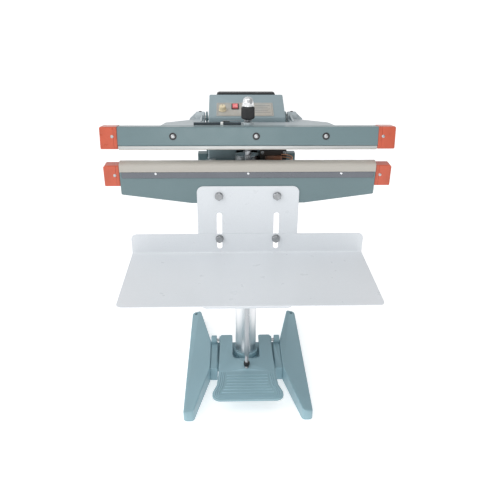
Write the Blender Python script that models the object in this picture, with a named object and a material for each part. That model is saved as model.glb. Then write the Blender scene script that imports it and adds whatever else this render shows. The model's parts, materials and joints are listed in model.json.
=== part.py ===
"""Foot-pedal impulse heat sealer on a pedestal: two sealing jaws, a pull rod, a pedal and a product table.

Frame: the column stands on the origin, +Z is up, -Y faces the operator and +X is the operator's right.
All sizes below are in millimetres and angles in degrees; meshes are written in metres.
"""
import math

import bmesh
import bpy
from mathutils import Matrix, Vector

MM = 0.001
GAP = 0.3            # clearance left between pieces that touch
SIDES = (("left", -1), ("right", 1))

# Pedestal
COLUMN_RADIUS = 32.0
COLUMN_WALL = 2.0
COLUMN_FOOT = 12.0
COLUMN_TOP = 682.0
LEG_HEIGHT = 45.0
LEG_WALL = 5.0
LEG_OUTER = 181.0
LEG_WAIST = 110.0
LEG_CROWN = 4.0         # how far a leg stands above the hub at its inner side
LEG_SLOPE = 0.28        # fall of a leg's top towards its outer side
LEG_FRONT = -278.0
LEG_REAR = 230.0
HUB_HEIGHT = 30.0
HUB_FRONT = -62.0
HUB_REAR = 50.0
COLLAR_RADIUS = 40.0
COLLAR_TOP = 46.0

# Pedal and pull rod
PEDAL_PIVOT = Vector((0.0, 35.0, 50.0))
PEDAL_TOP = 62.0
PEDAL_THICKNESS = 8.0
PIN_RADIUS = 5.0
ROD_RADIUS = 7.0
ROD_THREAD_LOW = 5.0
ROD_THREAD_HIGH = 6.0
ROD_FOOT = Vector((0.0, -116.0, PEDAL_TOP))
ROD_HEAD = Vector((0.0, -46.0, 800.0))
ROD_AXIS = (ROD_HEAD - ROD_FOOT).normalized()
ROD_TILT = -math.degrees(math.asin(ROD_AXIS.y))

# Jaws
SEAL_LENGTH = 650.0
JAW_FRONT = -104.0
BEAM_REAR = -74.0
BEAM_BOTTOM = 633.0
BEAM_TOP = 685.0
CROWN_TOP = 694.0
BAR_HALF = 322.0
BAR_REAR = -64.0
BAR_BOTTOM = 705.3
UPPER_CAP_BOTTOM = 697.5
PAD_HALF = 322.0
BAR_TOP = 751.3
JAW_PIVOT = Vector((0.0, 115.0, 752.0))
JAW_OPEN = 8.5
CAP_END = 365.0
CARRIER_HOLE = -50.3

# Head, control box and panel
PLATFORM_BOTTOM = 640.0
PLATFORM_TOP = 648.0
PLATFORM_HALF = 112.0
BOX_FRONT = 18.0
BOX_REAR = 130.0
BOX_FRONT_TOP = 779.0
BOX_REAR_TOP = 815.0
BOX_HALF_BOTTOM = 106.0
BOX_HALF_TOP = 102.0
PANEL_SLOPE = math.degrees(math.atan2(BOX_REAR_TOP - BOX_FRONT_TOP, BOX_REAR - BOX_FRONT))
SHAFT_RADIUS = 7.0
COVER_DEPTH = 22.0
PANEL_KNOB = (-65.0, 32.0)       # across, and up the slope from the lid's front edge
PANEL_SWITCH = (-31.0, 49.0)
SWITCH_TILT = 6.0

# Bracket and table
BRACKET_REAR = -106.3
BRACKET_THICKNESS = 3.0
BRACKET_FRONT = BRACKET_REAR - BRACKET_THICKNESS
BOLT_SPACING = 150.0
SLOT_WIDTH = 14.0
BOLT_ACROSS = 19.0      # across the flats of the bracket and table bolts
BRACKET_BOLT_HEIGHT = 606.0
TABLE_BOLT_HEIGHT = 485.5
TABLE_HEIGHT = 443.0
TABLE_HALF = 310.0
TABLE_FRONT = -380.0
TABLE_SHEET = 2.0
BOLT_RADIUS = 5.0


# ---------------------------------------------------------------- shape helpers

def clear_scene():
    for item in list(bpy.data.objects):
        bpy.data.objects.remove(item, do_unlink=True)


def finish(name, colour, metallic=0.0, roughness=0.5):
    """A Principled material with one colour, for the part's look in the viewport."""
    material = bpy.data.materials.new(name)
    material.use_nodes = True
    shader = material.node_tree.nodes["Principled BSDF"]
    shader.inputs["Base Color"].default_value = (*colour, 1.0)
    shader.inputs["Metallic"].default_value = metallic
    shader.inputs["Roughness"].default_value = roughness
    return material


def place(a, b, h, axis):
    """A point with plane coordinates a, b and height h along the given axis."""
    if axis == "X":
        return Vector((h, a, b))
    if axis == "Y":
        return Vector((a, h, b))
    return Vector((a, b, h))


def lofted(rings, closed=False):
    """Skin rings of equally many points; closed joins the last ring back to the first."""
    bm = bmesh.new()
    loops = [[bm.verts.new(point) for point in ring] for ring in rings]
    following = loops[1:] + loops[:1] if closed else loops[1:]
    for lower, upper in zip(loops, following):
        for k in range(len(lower)):
            n = (k + 1) % len(lower)
            bm.faces.new((lower[k], lower[n], upper[n], upper[k]))
    if not closed:
        bm.faces.new(loops[0])
        bm.faces.new(loops[-1])
    bmesh.ops.recalc_face_normals(bm, faces=bm.faces)
    return bm


def rounded(corners, steps=5):
    """An outline from corners (a, b) or (a, b, radius), with an arc at each radius."""
    outline = []
    for k, corner in enumerate(corners):
        here = Vector(corner[:2])
        radius = corner[2] if len(corner) > 2 else 0.0
        if radius <= 0.0:
            outline.append(tuple(here))
            continue
        back = (Vector(corners[k - 1][:2]) - here).normalized()
        ahead = (Vector(corners[(k + 1) % len(corners)][:2]) - here).normalized()
        half = back.angle(ahead) / 2
        reach = radius / math.tan(half)
        centre = here + (back + ahead).normalized() * radius / math.sin(half)
        start = here + back * reach - centre
        sweep = start.angle_signed(here + ahead * reach - centre)
        for step in range(steps + 1):
            turned_by = -sweep * step / steps
            outline.append(tuple(centre + Matrix.Rotation(turned_by, 2) @ start))
    return outline


def prism(outline, low, high, axis):
    """Extrude an outline between two heights along an axis."""
    return lofted([[place(a, b, h, axis) for a, b in outline] for h in (low, high)])


def box(x0, x1, y0, y1, z0, z1, radius=0.0):
    """A block with rounded upright edges."""
    corners = ((x0, y0, radius), (x1, y0, radius), (x1, y1, radius), (x0, y1, radius))
    return prism(rounded(corners, 4), z0, z1, "Z")


def section_tube(outer, inner, low, high, axis):
    """A tube with the given outer and inner outlines, open at both ends."""
    rings = []
    for outline, height in ((outer, low), (outer, high), (inner, high), (inner, low)):
        rings.append([place(a, b, height, axis) for a, b in outline])
    return lofted(rings, closed=True)


def turned(profile, centre, axis, closed=False, count=24):
    """Revolve (radius, height) pairs; a third value of "hex" makes that ring a hexagon."""
    rings = []
    a0, b0, h0 = centre
    for station in profile:
        radius, height = station[:2]
        ring = []
        for k in range(count):
            angle = 2 * math.pi * k / count
            reach = radius
            if len(station) > 2:
                reach = radius / math.cos((angle + math.pi / 6) % (math.pi / 3) - math.pi / 6)
            ring.append(place(a0 + reach * math.cos(angle), b0 + reach * math.sin(angle), h0 + height, axis))
        rings.append(ring)
    return lofted(rings, closed)


def rod(radius, low, high, centre, axis, count=24):
    """A plain round bar."""
    return turned(((radius, low), (radius, high)), (*centre, 0.0), axis, count=count)


def slot_cutter(a, b0, b1, width, low, high, axis):
    """A slot with round ends, long in the second plane direction."""
    half = width / 2
    corners = ((a - half, b0, half), (a + half, b0, half), (a + half, b1, half), (a - half, b1, half))
    return prism(rounded(corners, 6), low, high, axis)


def coil(radius, wire, length, turns, centre, steps=14, sides=6):
    """A round-wire compression spring standing on its centre point, with the wire's ends capped."""
    rings = []
    total = int(turns * steps)
    for k in range(total + 1):
        angle = 2 * math.pi * k / steps
        outward = Vector((math.cos(angle), math.sin(angle), 0.0))
        middle = Vector(centre) + outward * radius
        middle.z += wire + (length - 2 * wire) * k / total
        ring = []
        for s in range(sides):
            around = 2 * math.pi * s / sides
            ring.append(middle + (outward * math.cos(around) + Vector((0, 0, math.sin(around)))) * wire)
        rings.append(ring)
    return lofted(rings)


def joint_frame(name, origin, tilt=0.0):
    """An empty on a joint's axis; pieces are drawn untilted and turn with it about X."""
    empty = bpy.data.objects.new(name, None)
    empty.location = Vector(origin) * MM
    empty.rotation_euler = (math.radians(tilt), 0.0, 0.0)
    bpy.context.scene.collection.objects.link(empty)
    return empty


def mesh_object(name, bm, frame):
    """Turn a millimetre bmesh into an object in metres, measured from its frame's origin."""
    origin = frame.location / MM if frame else Vector()
    bmesh.ops.translate(bm, verts=bm.verts, vec=-origin)
    bmesh.ops.scale(bm, verts=bm.verts, vec=(MM, MM, MM))
    mesh = bpy.data.meshes.new(name)
    bm.to_mesh(mesh)
    bm.free()
    item = bpy.data.objects.new(name, mesh)
    bpy.context.scene.collection.objects.link(item)
    item.parent = frame
    return item


def make(name, bm, material, frame=None, hollow=(), add=(), cut=(), smooth=True):
    """One named solid: first hollowed, then joined with other solids, then cut by others."""
    item = mesh_object(name, bm, frame)
    item.data.materials.append(material)
    steps = [("DIFFERENCE", solid) for solid in hollow]
    steps += [("UNION", solid) for solid in add]
    steps += [("DIFFERENCE", solid) for solid in cut]
    for number, (operation, solid) in enumerate(steps):
        tool = mesh_object(f"{name}_tool_{number}", solid, frame)
        tool.hide_render = True
        tool.display_type = "WIRE"
        modifier = item.modifiers.new(f"{operation.lower()}_{number}", "BOOLEAN")
        modifier.operation = operation
        modifier.object = tool
    if smooth:
        item.data.shade_smooth()
        item.data.set_sharp_from_angle(angle=math.radians(35))
    return item


def hex_bolt(across, head, radius, length, centre, axis, facing):
    """A washer-faced hexagon bolt; its head points along facing times the axis."""
    washer = 1.6
    half = across / 2
    profile = (
        (radius, -length), (radius, 0.0), (half * 1.18, 0.0), (half * 1.18, washer),
        (half, washer, "hex"), (half, washer + head - 1.2, "hex"), (half * 0.86, washer + head),
    )
    a, b, h = centre
    return turned([(p[0], p[1] * facing, *p[2:]) for p in profile], (a, b, h), axis)


def hex_nut(across, thick, bore, centre, axis):
    """A hexagon nut with a plain bore."""
    half = across / 2
    profile = ((half, 0.0, "hex"), (half, thick, "hex"), (bore, thick), (bore, 0.0))
    return turned(profile, centre, axis, closed=True)


def pan_screw(radius, head, shank, length, centre, axis, facing):
    """A domed screw whose head points along facing times the axis."""
    profile = ((shank, -length), (shank, 0.0), (radius, 0.0), (radius, head * 0.5), (radius * 0.6, head))
    return turned([(r, h * facing) for r, h in profile], centre, axis, count=16)


def inset(corners, amount):
    """Move every side of a straight-sided outline inwards, keeping smaller corner radii."""
    points = [Vector(corner[:2]) for corner in corners]
    area = sum(a.x * b.y - b.x * a.y for a, b in zip(points, points[1:] + points[:1]))
    turn = 1.0 if area > 0 else -1.0
    moved = []
    for k, corner in enumerate(corners):
        before = (points[k] - points[k - 1]).normalized()
        after = (points[(k + 1) % len(points)] - points[k]).normalized()
        normal_before = Vector((-before.y, before.x)) * turn
        normal_after = Vector((-after.y, after.x)) * turn
        bisector = (normal_before + normal_after).normalized()
        point = points[k] + bisector * amount / bisector.dot(normal_after)
        radius = max((corner[2] if len(corner) > 2 else 0.0) - amount, 0.0)
        moved.append((point.x, point.y, radius))
    return moved


def bent_sheet(path, thickness):
    """The outline of a folded sheet whose outer face follows the path."""
    outer = [Vector(point) for point in path]
    inner = []
    for k, point in enumerate(outer):
        before = (point - outer[k - 1]).normalized() if k else (outer[1] - point).normalized()
        after = (outer[k + 1] - point).normalized() if k + 1 < len(outer) else before
        normal = Vector((before.y, -before.x)) + Vector((after.y, -after.x))
        normal.normalize()
        inner.append(point + normal * thickness / normal.dot(Vector((after.y, -after.x))))
    return [tuple(point) for point in outer + inner[::-1]]


def mirrored(corners):
    """A whole outline from its right-hand half."""
    left = [(-corner[0], *corner[1:]) for corner in reversed(corners)]
    return list(corners) + left


# ---------------------------------------------------------------- pedestal

def make_legs(paint):
    """Two hollow castings: straight outer side, waist at the hub, sloping top, a hole at the rear tip."""
    def top(x):
        return LEG_HEIGHT + LEG_CROWN - LEG_SLOPE * (abs(x) - LEG_WAIST)

    for side, sign in SIDES:
        corners = [
            (sign * 152, LEG_FRONT, 11), (sign * LEG_OUTER, LEG_FRONT, 11), (sign * LEG_OUTER, LEG_REAR, 11),
            (sign * 153, LEG_REAR, 11), (sign * LEG_WAIST, 32, 6), (sign * LEG_WAIST, -104, 6),
        ]
        outline = rounded(corners)
        hollow = rounded(inset(corners, LEG_WALL), 3)
        body = lofted([[(x, y, 0.0) for x, y in outline], [(x, y, top(x)) for x, y in outline]])
        inside = lofted([[(x, y, -1.0) for x, y in hollow], [(x, y, top(x) - LEG_WALL) for x, y in hollow]])
        hole = rod(4.0, 20.0, 60.0, (sign * 167, LEG_REAR - 15), "Z", 12)
        make(f"{side}_leg", body, paint, cut=[inside, hole])


def make_base_hub(paint):
    """The middle casting: hollow underneath, solid below the column, with collar and pedal lugs."""
    edge = LEG_WAIST - GAP
    body = box(-edge, edge, HUB_FRONT, HUB_REAR, 0.0, HUB_HEIGHT)
    hollow = box(-84.0, 84.0, HUB_FRONT + 6, HUB_REAR - 6, -1.0, HUB_HEIGHT - 6, 6.0)
    collar = rod(COLLAR_RADIUS, 0.0, COLLAR_TOP, (0.0, 0.0), "Z", 32)
    bore = rod(COLUMN_RADIUS + GAP, COLUMN_FOOT, COLLAR_TOP + 1, (0.0, 0.0), "Z", 32)
    shoulders = [box(sign * 98 - 10, sign * 98 + 10 + sign * (edge - 108), -103.5, 31.5, 0.0, LEG_HEIGHT)
                 for _, sign in SIDES]
    lugs = [prism(rounded(((21, 20), (49, 20), (49, 64, 11), (21, 64, 11))), sign * 92, sign * edge, "X")
            for _, sign in SIDES]
    pin_bore = rod(PIN_RADIUS + GAP, -115.0, 115.0, (PEDAL_PIVOT.y, PEDAL_PIVOT.z), "X", 16)
    make("base_hub", body, paint, hollow=[hollow], add=[*shoulders, *lugs, collar], cut=[bore, pin_bore])


def make_column(chrome):
    outer = [(math.cos(2 * math.pi * k / 40), math.sin(2 * math.pi * k / 40)) for k in range(40)]
    wide = [(a * COLUMN_RADIUS, b * COLUMN_RADIUS) for a, b in outer]
    narrow = [(a * (COLUMN_RADIUS - COLUMN_WALL), b * (COLUMN_RADIUS - COLUMN_WALL)) for a, b in outer]
    make("column", section_tube(wide, narrow, COLUMN_FOOT + GAP, COLUMN_TOP, "Z"), chrome)
    bore = COLUMN_RADIUS - COLUMN_WALL - GAP
    profile = (
        (bore, -8.0), (bore, GAP), (COLUMN_RADIUS, GAP), (COLUMN_RADIUS, 2.0), (26.0, 4.2), (14.0, 5.6),
        (3.0, 6.0),
    )
    make("column_cap", turned(profile, (0.0, 0.0, COLUMN_TOP), "Z", count=32), chrome)


def make_pedal(paint, steel, frame):
    """A cast treadle: notched round the column, with two arms and their pivot bosses."""
    half = [
        (41.5, 47, 5), (80, 47, 6), (84, -144, 30), (89, -200, 30), (100, -230, 14), (100, -262, 22),
    ]
    notch = [(-41.5, -76, 14), (41.5, -76, 14)]
    outline = rounded(mirrored(half) + notch)
    plate = prism(outline, PEDAL_TOP - PEDAL_THICKNESS, PEDAL_TOP, "Z")
    centre = (PEDAL_PIVOT.y, PEDAL_PIVOT.z)
    bosses = [rod(12.0, *sorted((sign * 60, sign * 84)), centre, "X") for _, sign in SIDES]
    bore = rod(PIN_RADIUS + GAP, -90.0, 90.0, centre, "X", 16)
    rod_hole = slot_cutter(0.0, ROD_FOOT.y - 11, ROD_FOOT.y + 9, 13.0, 50.0, 70.0, "Z")
    make("pedal", plate, paint, frame, add=bosses, cut=[bore, rod_hole])
    for side, sign in SIDES:
        ends = sorted((sign * 62, sign * (LEG_WAIST - 1)))
        make(f"pedal_pin_{side}", rod(PIN_RADIUS, *ends, centre, "X"), steel)


# ---------------------------------------------------------------- pull rod

def along_rod(height):
    """Where a height above the floor lies on the rod, measured up the untilted rod."""
    return ROD_FOOT.z + (height - ROD_FOOT.z) / ROD_AXIS.z


def make_pull_rod(steel, chrome, black, frame):
    """The rod with its nuts, the pressure knob, the dome nut and both springs."""
    centre = (ROD_FOOT.x, ROD_FOOT.y)
    knob_low = along_rod(790.0)
    knob_top = knob_low + 31.0
    shoulder = along_rod(101.0)
    neck = along_rod(732.0)
    bar = [(ROD_THREAD_LOW, along_rod(32.0)), (ROD_THREAD_LOW, shoulder), (ROD_RADIUS, shoulder),
           (ROD_RADIUS, neck), (ROD_THREAD_HIGH, neck), (ROD_THREAD_HIGH, knob_top - GAP)]
    make("pull_rod", turned(bar, (*centre, 0.0), "Z"), steel, frame)
    bore = ROD_THREAD_LOW + GAP

    upper = [(bore, 0.0), (7.5, 0.6), (9.0, 4.0), (9.2, 8.0), (8.4, 12.0), (bore + 0.4, 14.5)]
    make("rod_ball_nut", turned(upper, (*centre, PEDAL_TOP + 2.2), "Z", closed=True), black, frame)
    lower_top = PEDAL_TOP - PEDAL_THICKNESS - 2.4
    lower = [(bore, 0.0), (8.0, -1.2), (10.5, -3.5), (10.5, -5.0), (8.5, -5.0, "hex"), (8.5, -14.0, "hex"),
             (bore, -14.0)]
    make("rod_lower_nut", turned(lower, (*centre, lower_top), "Z", closed=True), steel, frame)

    bore = ROD_THREAD_HIGH + GAP
    knob = [(bore, 0.0), (14.5, 0.0), (17.0, 2.0), (17.0, 27.0), (14.5, 31.0), (bore, 31.0)]
    make("pressure_knob", turned(knob, (*centre, knob_low), "Z", closed=True, count=36), black, frame)
    dome = [(16.0, GAP), (16.0, 3.0), (13.8, 3.0, "hex"), (13.8, 11.0, "hex"), (13.2, 13.0), (11.8, 17.0),
            (8.2, 21.0), (2.5, 23.6)]
    make("dome_nut", turned(dome, (*centre, knob_top), "Z"), chrome, frame)
    pressure_low = along_rod(783.4)
    make("pressure_spring", coil(9.0, 0.9, knob_low - GAP - pressure_low, 2.5, (*centre, pressure_low)),
         steel, frame)


def make_return_spring(steel, frame):
    low = along_rod(PLATFORM_TOP + 1.6)
    length = along_rod(766.4) - low
    make("return_spring", coil(10.6, 1.3, length, 10, (ROD_FOOT.x, ROD_FOOT.y, low), 12), steel, frame)


# ---------------------------------------------------------------- lower jaw

def make_lower_jaw(paint, orange, steel, white, alloy):
    half = SEAL_LENGTH / 2
    section = ((JAW_FRONT + GAP, BEAM_BOTTOM, 3), (BEAM_REAR, BEAM_BOTTOM, 3), (BEAM_REAR, BEAM_TOP, 3),
               (JAW_FRONT + GAP, BEAM_TOP, 3))
    beam = section_tube(rounded(section, 3), rounded(inset(section, 2.0), 3), -half, half, "X")
    make("lower_beam", beam, paint)

    apron = [(half, 680), (half, 609.5, 4), (146, 585, 20), (-146, 585, 20), (-half, 609.5, 4), (-half, 680)]
    holes = [rod(BOLT_RADIUS + GAP, -115.0, -95.0, (x, BRACKET_BOLT_HEIGHT), "Y", 16)
             for x in (-BOLT_SPACING / 2, BOLT_SPACING / 2)]
    make("lower_apron", prism(rounded(apron), JAW_FRONT - 2.0, JAW_FRONT, "Y"), paint, cut=holes)

    for side, sign in SIDES:
        shape = [(sign * (half + GAP), 632), (sign * CAP_END, 632, 2), (sign * CAP_END, 682.5, 2),
                 (sign * 361, 686.5, 2), (sign * (half + GAP), 686.5)]
        ends = sorted((sign * 310, sign * (half + 2)))
        plug = prism(rounded(inset(section, 2.4), 2), *ends, "X")
        make(f"lower_cap_{side}", prism(rounded(shape, 3), -106.0, -72.0, "Y"), orange, add=[plug])

    make("element_base", prism([(-99, 685.3), (-79, 685.3), (-79, 690), (-99, 690)], -half, half, "X"), white)
    ribbon = [(-92, 690.3), (-86, 690.3), (-86, 690.7), (-92, 690.7)]
    make("heating_ribbon", prism(ribbon, -312, 312, "X"), alloy)
    crown = [(-107.2, 669.8), (-107.2, 681.5), (-104.4, 687.0), (-99.6, 691.6), (-93.6, 693.7),
             (-86.0, CROWN_TOP), (-79.4, 692.4), (-74.6, 687.6), (-72.6, 681.0), (-72.6, 668.0)]
    make("release_cover", prism(bent_sheet(crown, 0.8), -half, half, "X"), white)
    front = [(-107.9, 654), (-106.3, 654), (-106.3, 669.5), (-107.9, 669.5)]
    make("front_strip", prism(front, -320, 320, "X"), steel)
    rear = [(-72.3, 668), (-71.0, 668), (-71.0, 678), (-72.3, 678)]
    make("rear_strip", prism(rear, -308, 308, "X"), steel)


# ---------------------------------------------------------------- bracket and table

def make_bracket(white, steel):
    plate = [(-132, 262, 17), (132, 262, 17), (132, 632, 17), (-132, 632, 17)]
    cutters = []
    for x in (-BOLT_SPACING / 2, BOLT_SPACING / 2):
        cutters.append(slot_cutter(x, 330, 559, SLOT_WIDTH, -115.0, -100.0, "Y"))
        cutters.append(rod(BOLT_RADIUS + GAP, -115.0, -100.0, (x, BRACKET_BOLT_HEIGHT), "Y", 16))
    make("table_bracket", prism(rounded(plate), BRACKET_FRONT, BRACKET_REAR, "Y"), white, cut=cutters)
    for side, sign in SIDES:
        centre = (sign * BOLT_SPACING / 2, BRACKET_BOLT_HEIGHT)
        bolt = hex_bolt(BOLT_ACROSS, 6.5, BOLT_RADIUS, 13.0, (*centre, BRACKET_FRONT - GAP), "Y", -1)
        make(f"bracket_bolt_{side}", bolt, steel)
        nut = hex_nut(17.0, 6.5, BOLT_RADIUS + GAP, (*centre, JAW_FRONT + GAP), "Y")
        make(f"bracket_nut_{side}", nut, steel)


def make_table(white, steel, frame):
    """An upright flange and a flat shelf folded from one sheet, with its clamping bolts."""
    rear = BRACKET_FRONT - GAP
    flange_corners = [(-TABLE_HALF, 441), (TABLE_HALF, 441), (TABLE_HALF, 499, 15), (-TABLE_HALF, 499, 15)]
    shelf_corners = [(-TABLE_HALF, TABLE_FRONT, 14), (TABLE_HALF, TABLE_FRONT, 14), (TABLE_HALF, rear - 1),
                     (-TABLE_HALF, rear - 1)]
    shelf = prism(rounded(shelf_corners), TABLE_HEIGHT - TABLE_SHEET, TABLE_HEIGHT, "Z")
    slots = [slot_cutter(sign * BOLT_SPACING / 2, 455, 492, SLOT_WIDTH, -118.0, -100.0, "Y")
             for _, sign in SIDES]
    flange = prism(rounded(flange_corners), rear - TABLE_SHEET, rear, "Y")
    make("table", flange, white, frame, add=[shelf], cut=slots)
    for side, sign in SIDES:
        centre = (sign * BOLT_SPACING / 2, TABLE_BOLT_HEIGHT)
        bolt = hex_bolt(BOLT_ACROSS, 7.0, BOLT_RADIUS, 14.0, (*centre, rear - TABLE_SHEET - GAP), "Y", -1)
        make(f"table_bolt_{side}", bolt, steel, frame)
        nut = hex_nut(17.0, 7.0, BOLT_RADIUS + GAP, (*centre, BRACKET_REAR + GAP), "Y")
        make(f"table_nut_{side}", nut, steel, frame)


# ---------------------------------------------------------------- head and control box

def make_head_frame(paint, steel):
    """The platform clamped to the column, its front flange for the beam, and the two shaft cheeks."""
    edge = PLATFORM_HALF
    platform = box(-edge, edge, BEAM_REAR + GAP, BOX_REAR, PLATFORM_BOTTOM, PLATFORM_TOP, 4.0)
    flanges = []
    for _, sign in SIDES:
        x0, x1 = sorted((sign * 17, sign * edge))
        flanges.append(box(x0, x1, BEAM_REAR + GAP, BEAM_REAR + 4.3, PLATFORM_BOTTOM, 664.0))
    clamp = rod(42.0, 596.0, PLATFORM_BOTTOM + 1, (0.0, 0.0), "Z", 32)
    riser = box(-edge, -36, -36, 12, PLATFORM_TOP - 1, 666, 4)
    tabs = [box(*sorted((sign * 107, sign * 134)), 34, 60, PLATFORM_BOTTOM, 674, 3)
            for _, sign in SIDES]
    cheek = rounded(((86, PLATFORM_BOTTOM), (BOX_REAR, PLATFORM_BOTTOM), (133, 752, 0), (133, 770, 17),
                     (97, 770, 17)))
    cheeks = [prism(cheek, *sorted((sign * 107, sign * edge)), "X") for _, sign in SIDES]
    column_hole = rod(COLUMN_RADIUS + GAP, 590.0, 655.0, (0.0, 0.0), "Z", 40)
    rod_hole = slot_cutter(0.0, -70.0, -51.0, 17.0, 630.0, 655.0, "Z")
    shaft_hole = rod(SHAFT_RADIUS + GAP, -140.0, 140.0, (JAW_PIVOT.y, JAW_PIVOT.z), "X")
    make("head_frame", platform, paint, add=[*flanges, clamp, riser, *tabs, *cheeks],
         cut=[column_hole, rod_hole, shaft_hole])
    make("pivot_shaft", rod(SHAFT_RADIUS, -141.0, 141.0, (JAW_PIVOT.y, JAW_PIVOT.z), "X"), steel)
    make("riser_bolt", hex_bolt(17.0, 7.0, 1.0, 0.1, (-92.0, -16.0, 666.0 + GAP), "Z", 1), steel)


def slanted_box(half_bottom, half_top, front, rear, bottom, front_top, rear_top):
    """A box whose sides lean in and whose lid rises to the rear."""
    low = [(-half_bottom, front, bottom), (half_bottom, front, bottom), (half_bottom, rear, bottom),
           (-half_bottom, rear, bottom)]
    high = [(-half_top, front, front_top), (half_top, front, front_top), (half_top, rear, rear_top),
            (-half_top, rear, rear_top)]
    return lofted([low, high])


def make_control_box(paint, black):
    """The sheet-steel housing, open underneath, and the louvred cover on its back."""
    bottom = PLATFORM_TOP + GAP
    shell = slanted_box(BOX_HALF_BOTTOM, BOX_HALF_TOP, BOX_FRONT, BOX_REAR, bottom,
                        BOX_FRONT_TOP, BOX_REAR_TOP)
    inside = slanted_box(BOX_HALF_BOTTOM - 2, BOX_HALF_TOP - 2, BOX_FRONT + 2, BOX_REAR - 2, bottom - 5,
                         BOX_FRONT_TOP - 2, BOX_REAR_TOP - 2)
    shaft_hole = rod(SHAFT_RADIUS + GAP, -115.0, 115.0, (JAW_PIVOT.y, JAW_PIVOT.z), "X")
    cable_hole = rod(8.0, BOX_REAR - 5, BOX_REAR + 5, (-60.0, 672.0), "Y", 16)
    column_notch = rod(COLUMN_RADIUS + 3, bottom - 5, COLUMN_TOP + 10, (0.0, 0.0), "Z", 32)
    make("box_shell", shell, paint, cut=[inside, shaft_hole, cable_hole, column_notch, *panel_holes()])

    cover = rounded(((-82, 700), (82, 700), (82, 818.5, 8), (-82, 818.5, 8)))
    hollow = rounded(((-79.5, 702.5), (79.5, 702.5), (79.5, 816, 6), (-79.5, 816, 6)))
    rear = BOX_REAR + GAP
    pocket = prism(hollow, rear - 1, rear + COVER_DEPTH - 2.5, "Y")
    louvres = [box(-50, 50, rear + 15, rear + 30, z, z + 5) for z in range(730, 795, 12)]
    make("rear_cover", prism(cover, rear, rear + COVER_DEPTH, "Y"), black, cut=[pocket, *louvres])
    gland = [(7.6, -6.0), (7.6, 0.0), (10.5, 0.0), (10.5, 4.0), (9.5, 4.0, "hex"), (9.5, 10.0, "hex"),
             (7.0, 14.0), (4.0, 16.0)]
    make("cable_gland", turned(gland, (-60.0, 672.0, rear + 0.2), "Y", count=24), black)


def panel_point(across, up, lift=0.0):
    """A point on the sloping lid, given its distance up the slope and its height above it."""
    slope = math.radians(PANEL_SLOPE)
    return Vector((across, BOX_FRONT + up * math.cos(slope) - lift * math.sin(slope),
                   BOX_FRONT_TOP + up * math.sin(slope) + lift * math.cos(slope)))


def panel_holes():
    """Cutters through the sloping lid for the timer shaft and the switch body."""
    holes = []
    for (across, up), wide, tall in ((PANEL_KNOB, 9.0, 9.0), (PANEL_SWITCH, 17.0, 25.0)):
        rings = []
        for lift in (-8.0, 8.0):
            rings.append([panel_point(across + a * wide / 2, up + b * tall / 2, lift)
                          for a, b in ((-1, -1), (1, -1), (1, 1), (-1, 1))])
        holes.append(lofted(rings))
    return holes


def rectangle(across, along, wide, tall, height):
    """Four corners of a level rectangle about a centre."""
    return [Vector((across + a * wide / 2, along + b * tall / 2, height))
            for a, b in ((-1, -1), (1, -1), (1, 1), (-1, 1))]


def make_control_panel(label, black, cream, red, steel):
    """The label plate on the sloping lid with the timer knob and the lit rocker switch."""
    lid = joint_frame("lid_frame", (0.0, BOX_FRONT, BOX_FRONT_TOP), PANEL_SLOPE)
    plate = box(-81, 71, BOX_FRONT + 3, BOX_FRONT + 70, BOX_FRONT_TOP + GAP, BOX_FRONT_TOP + 1.3, 3.0)
    knob_centre = (PANEL_KNOB[0], BOX_FRONT + PANEL_KNOB[1])
    shaft = rod(4.0, BOX_FRONT_TOP - 2, BOX_FRONT_TOP + 5, knob_centre, "Z", 16)
    across, along = PANEL_SWITCH[0], BOX_FRONT + PANEL_SWITCH[1]
    window = lofted([rectangle(across, along, 17, 25, BOX_FRONT_TOP + lift) for lift in (-2, 5)])
    make("control_panel", plate, label, lid, cut=[shaft, window])
    base = BOX_FRONT_TOP
    stations = ((16.4, 24.4, -9.0), (16.4, 24.4, 1.6), (20.0, 28.0, 1.6), (19.4, 27.4, 3.4),
                (15.0, 23.0, 3.4), (15.0, 23.0, -9.0))
    rings = [rectangle(across, along, wide, tall, base + lift) for wide, tall, lift in stations]
    make("switch_bezel", lofted(rings, closed=True), black, lid)

    x, y, z = panel_point(*PANEL_SWITCH, 1.0)
    rocker_frame = joint_frame("switch_axis", (x, y, z), PANEL_SLOPE - SWITCH_TILT)
    rocker = [(y - 10.0, z - 4), (y + 10.0, z - 4), (y + 10.2, z + 5.0), (y + 5.0, z + 3.5), (y, z + 3.0),
              (y - 5.0, z + 3.5), (y - 10.2, z + 5.0)]
    make("power_rocker", prism(rocker, x - 7.1, x + 7.1, "X"), red, rocker_frame)

    x, y, z = panel_point(*PANEL_KNOB)
    knob_frame = joint_frame("timer_axis", (x, y, z), PANEL_SLOPE)
    profile = [(3.0, -8.0), (3.0, 2.0), (10.5, 2.0), (10.5, 4.0), (8.5, 5.0), (8.0, 13.0), (6.8, 14.4)]
    make("timer_knob", turned(profile, (x, y, z), "Z"), cream, knob_frame)
    make("timer_body", rod(9.0, z - 24.0, z - 9.0, (x, y), "Z"), steel, knob_frame)


# ---------------------------------------------------------------- upper jaw

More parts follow.
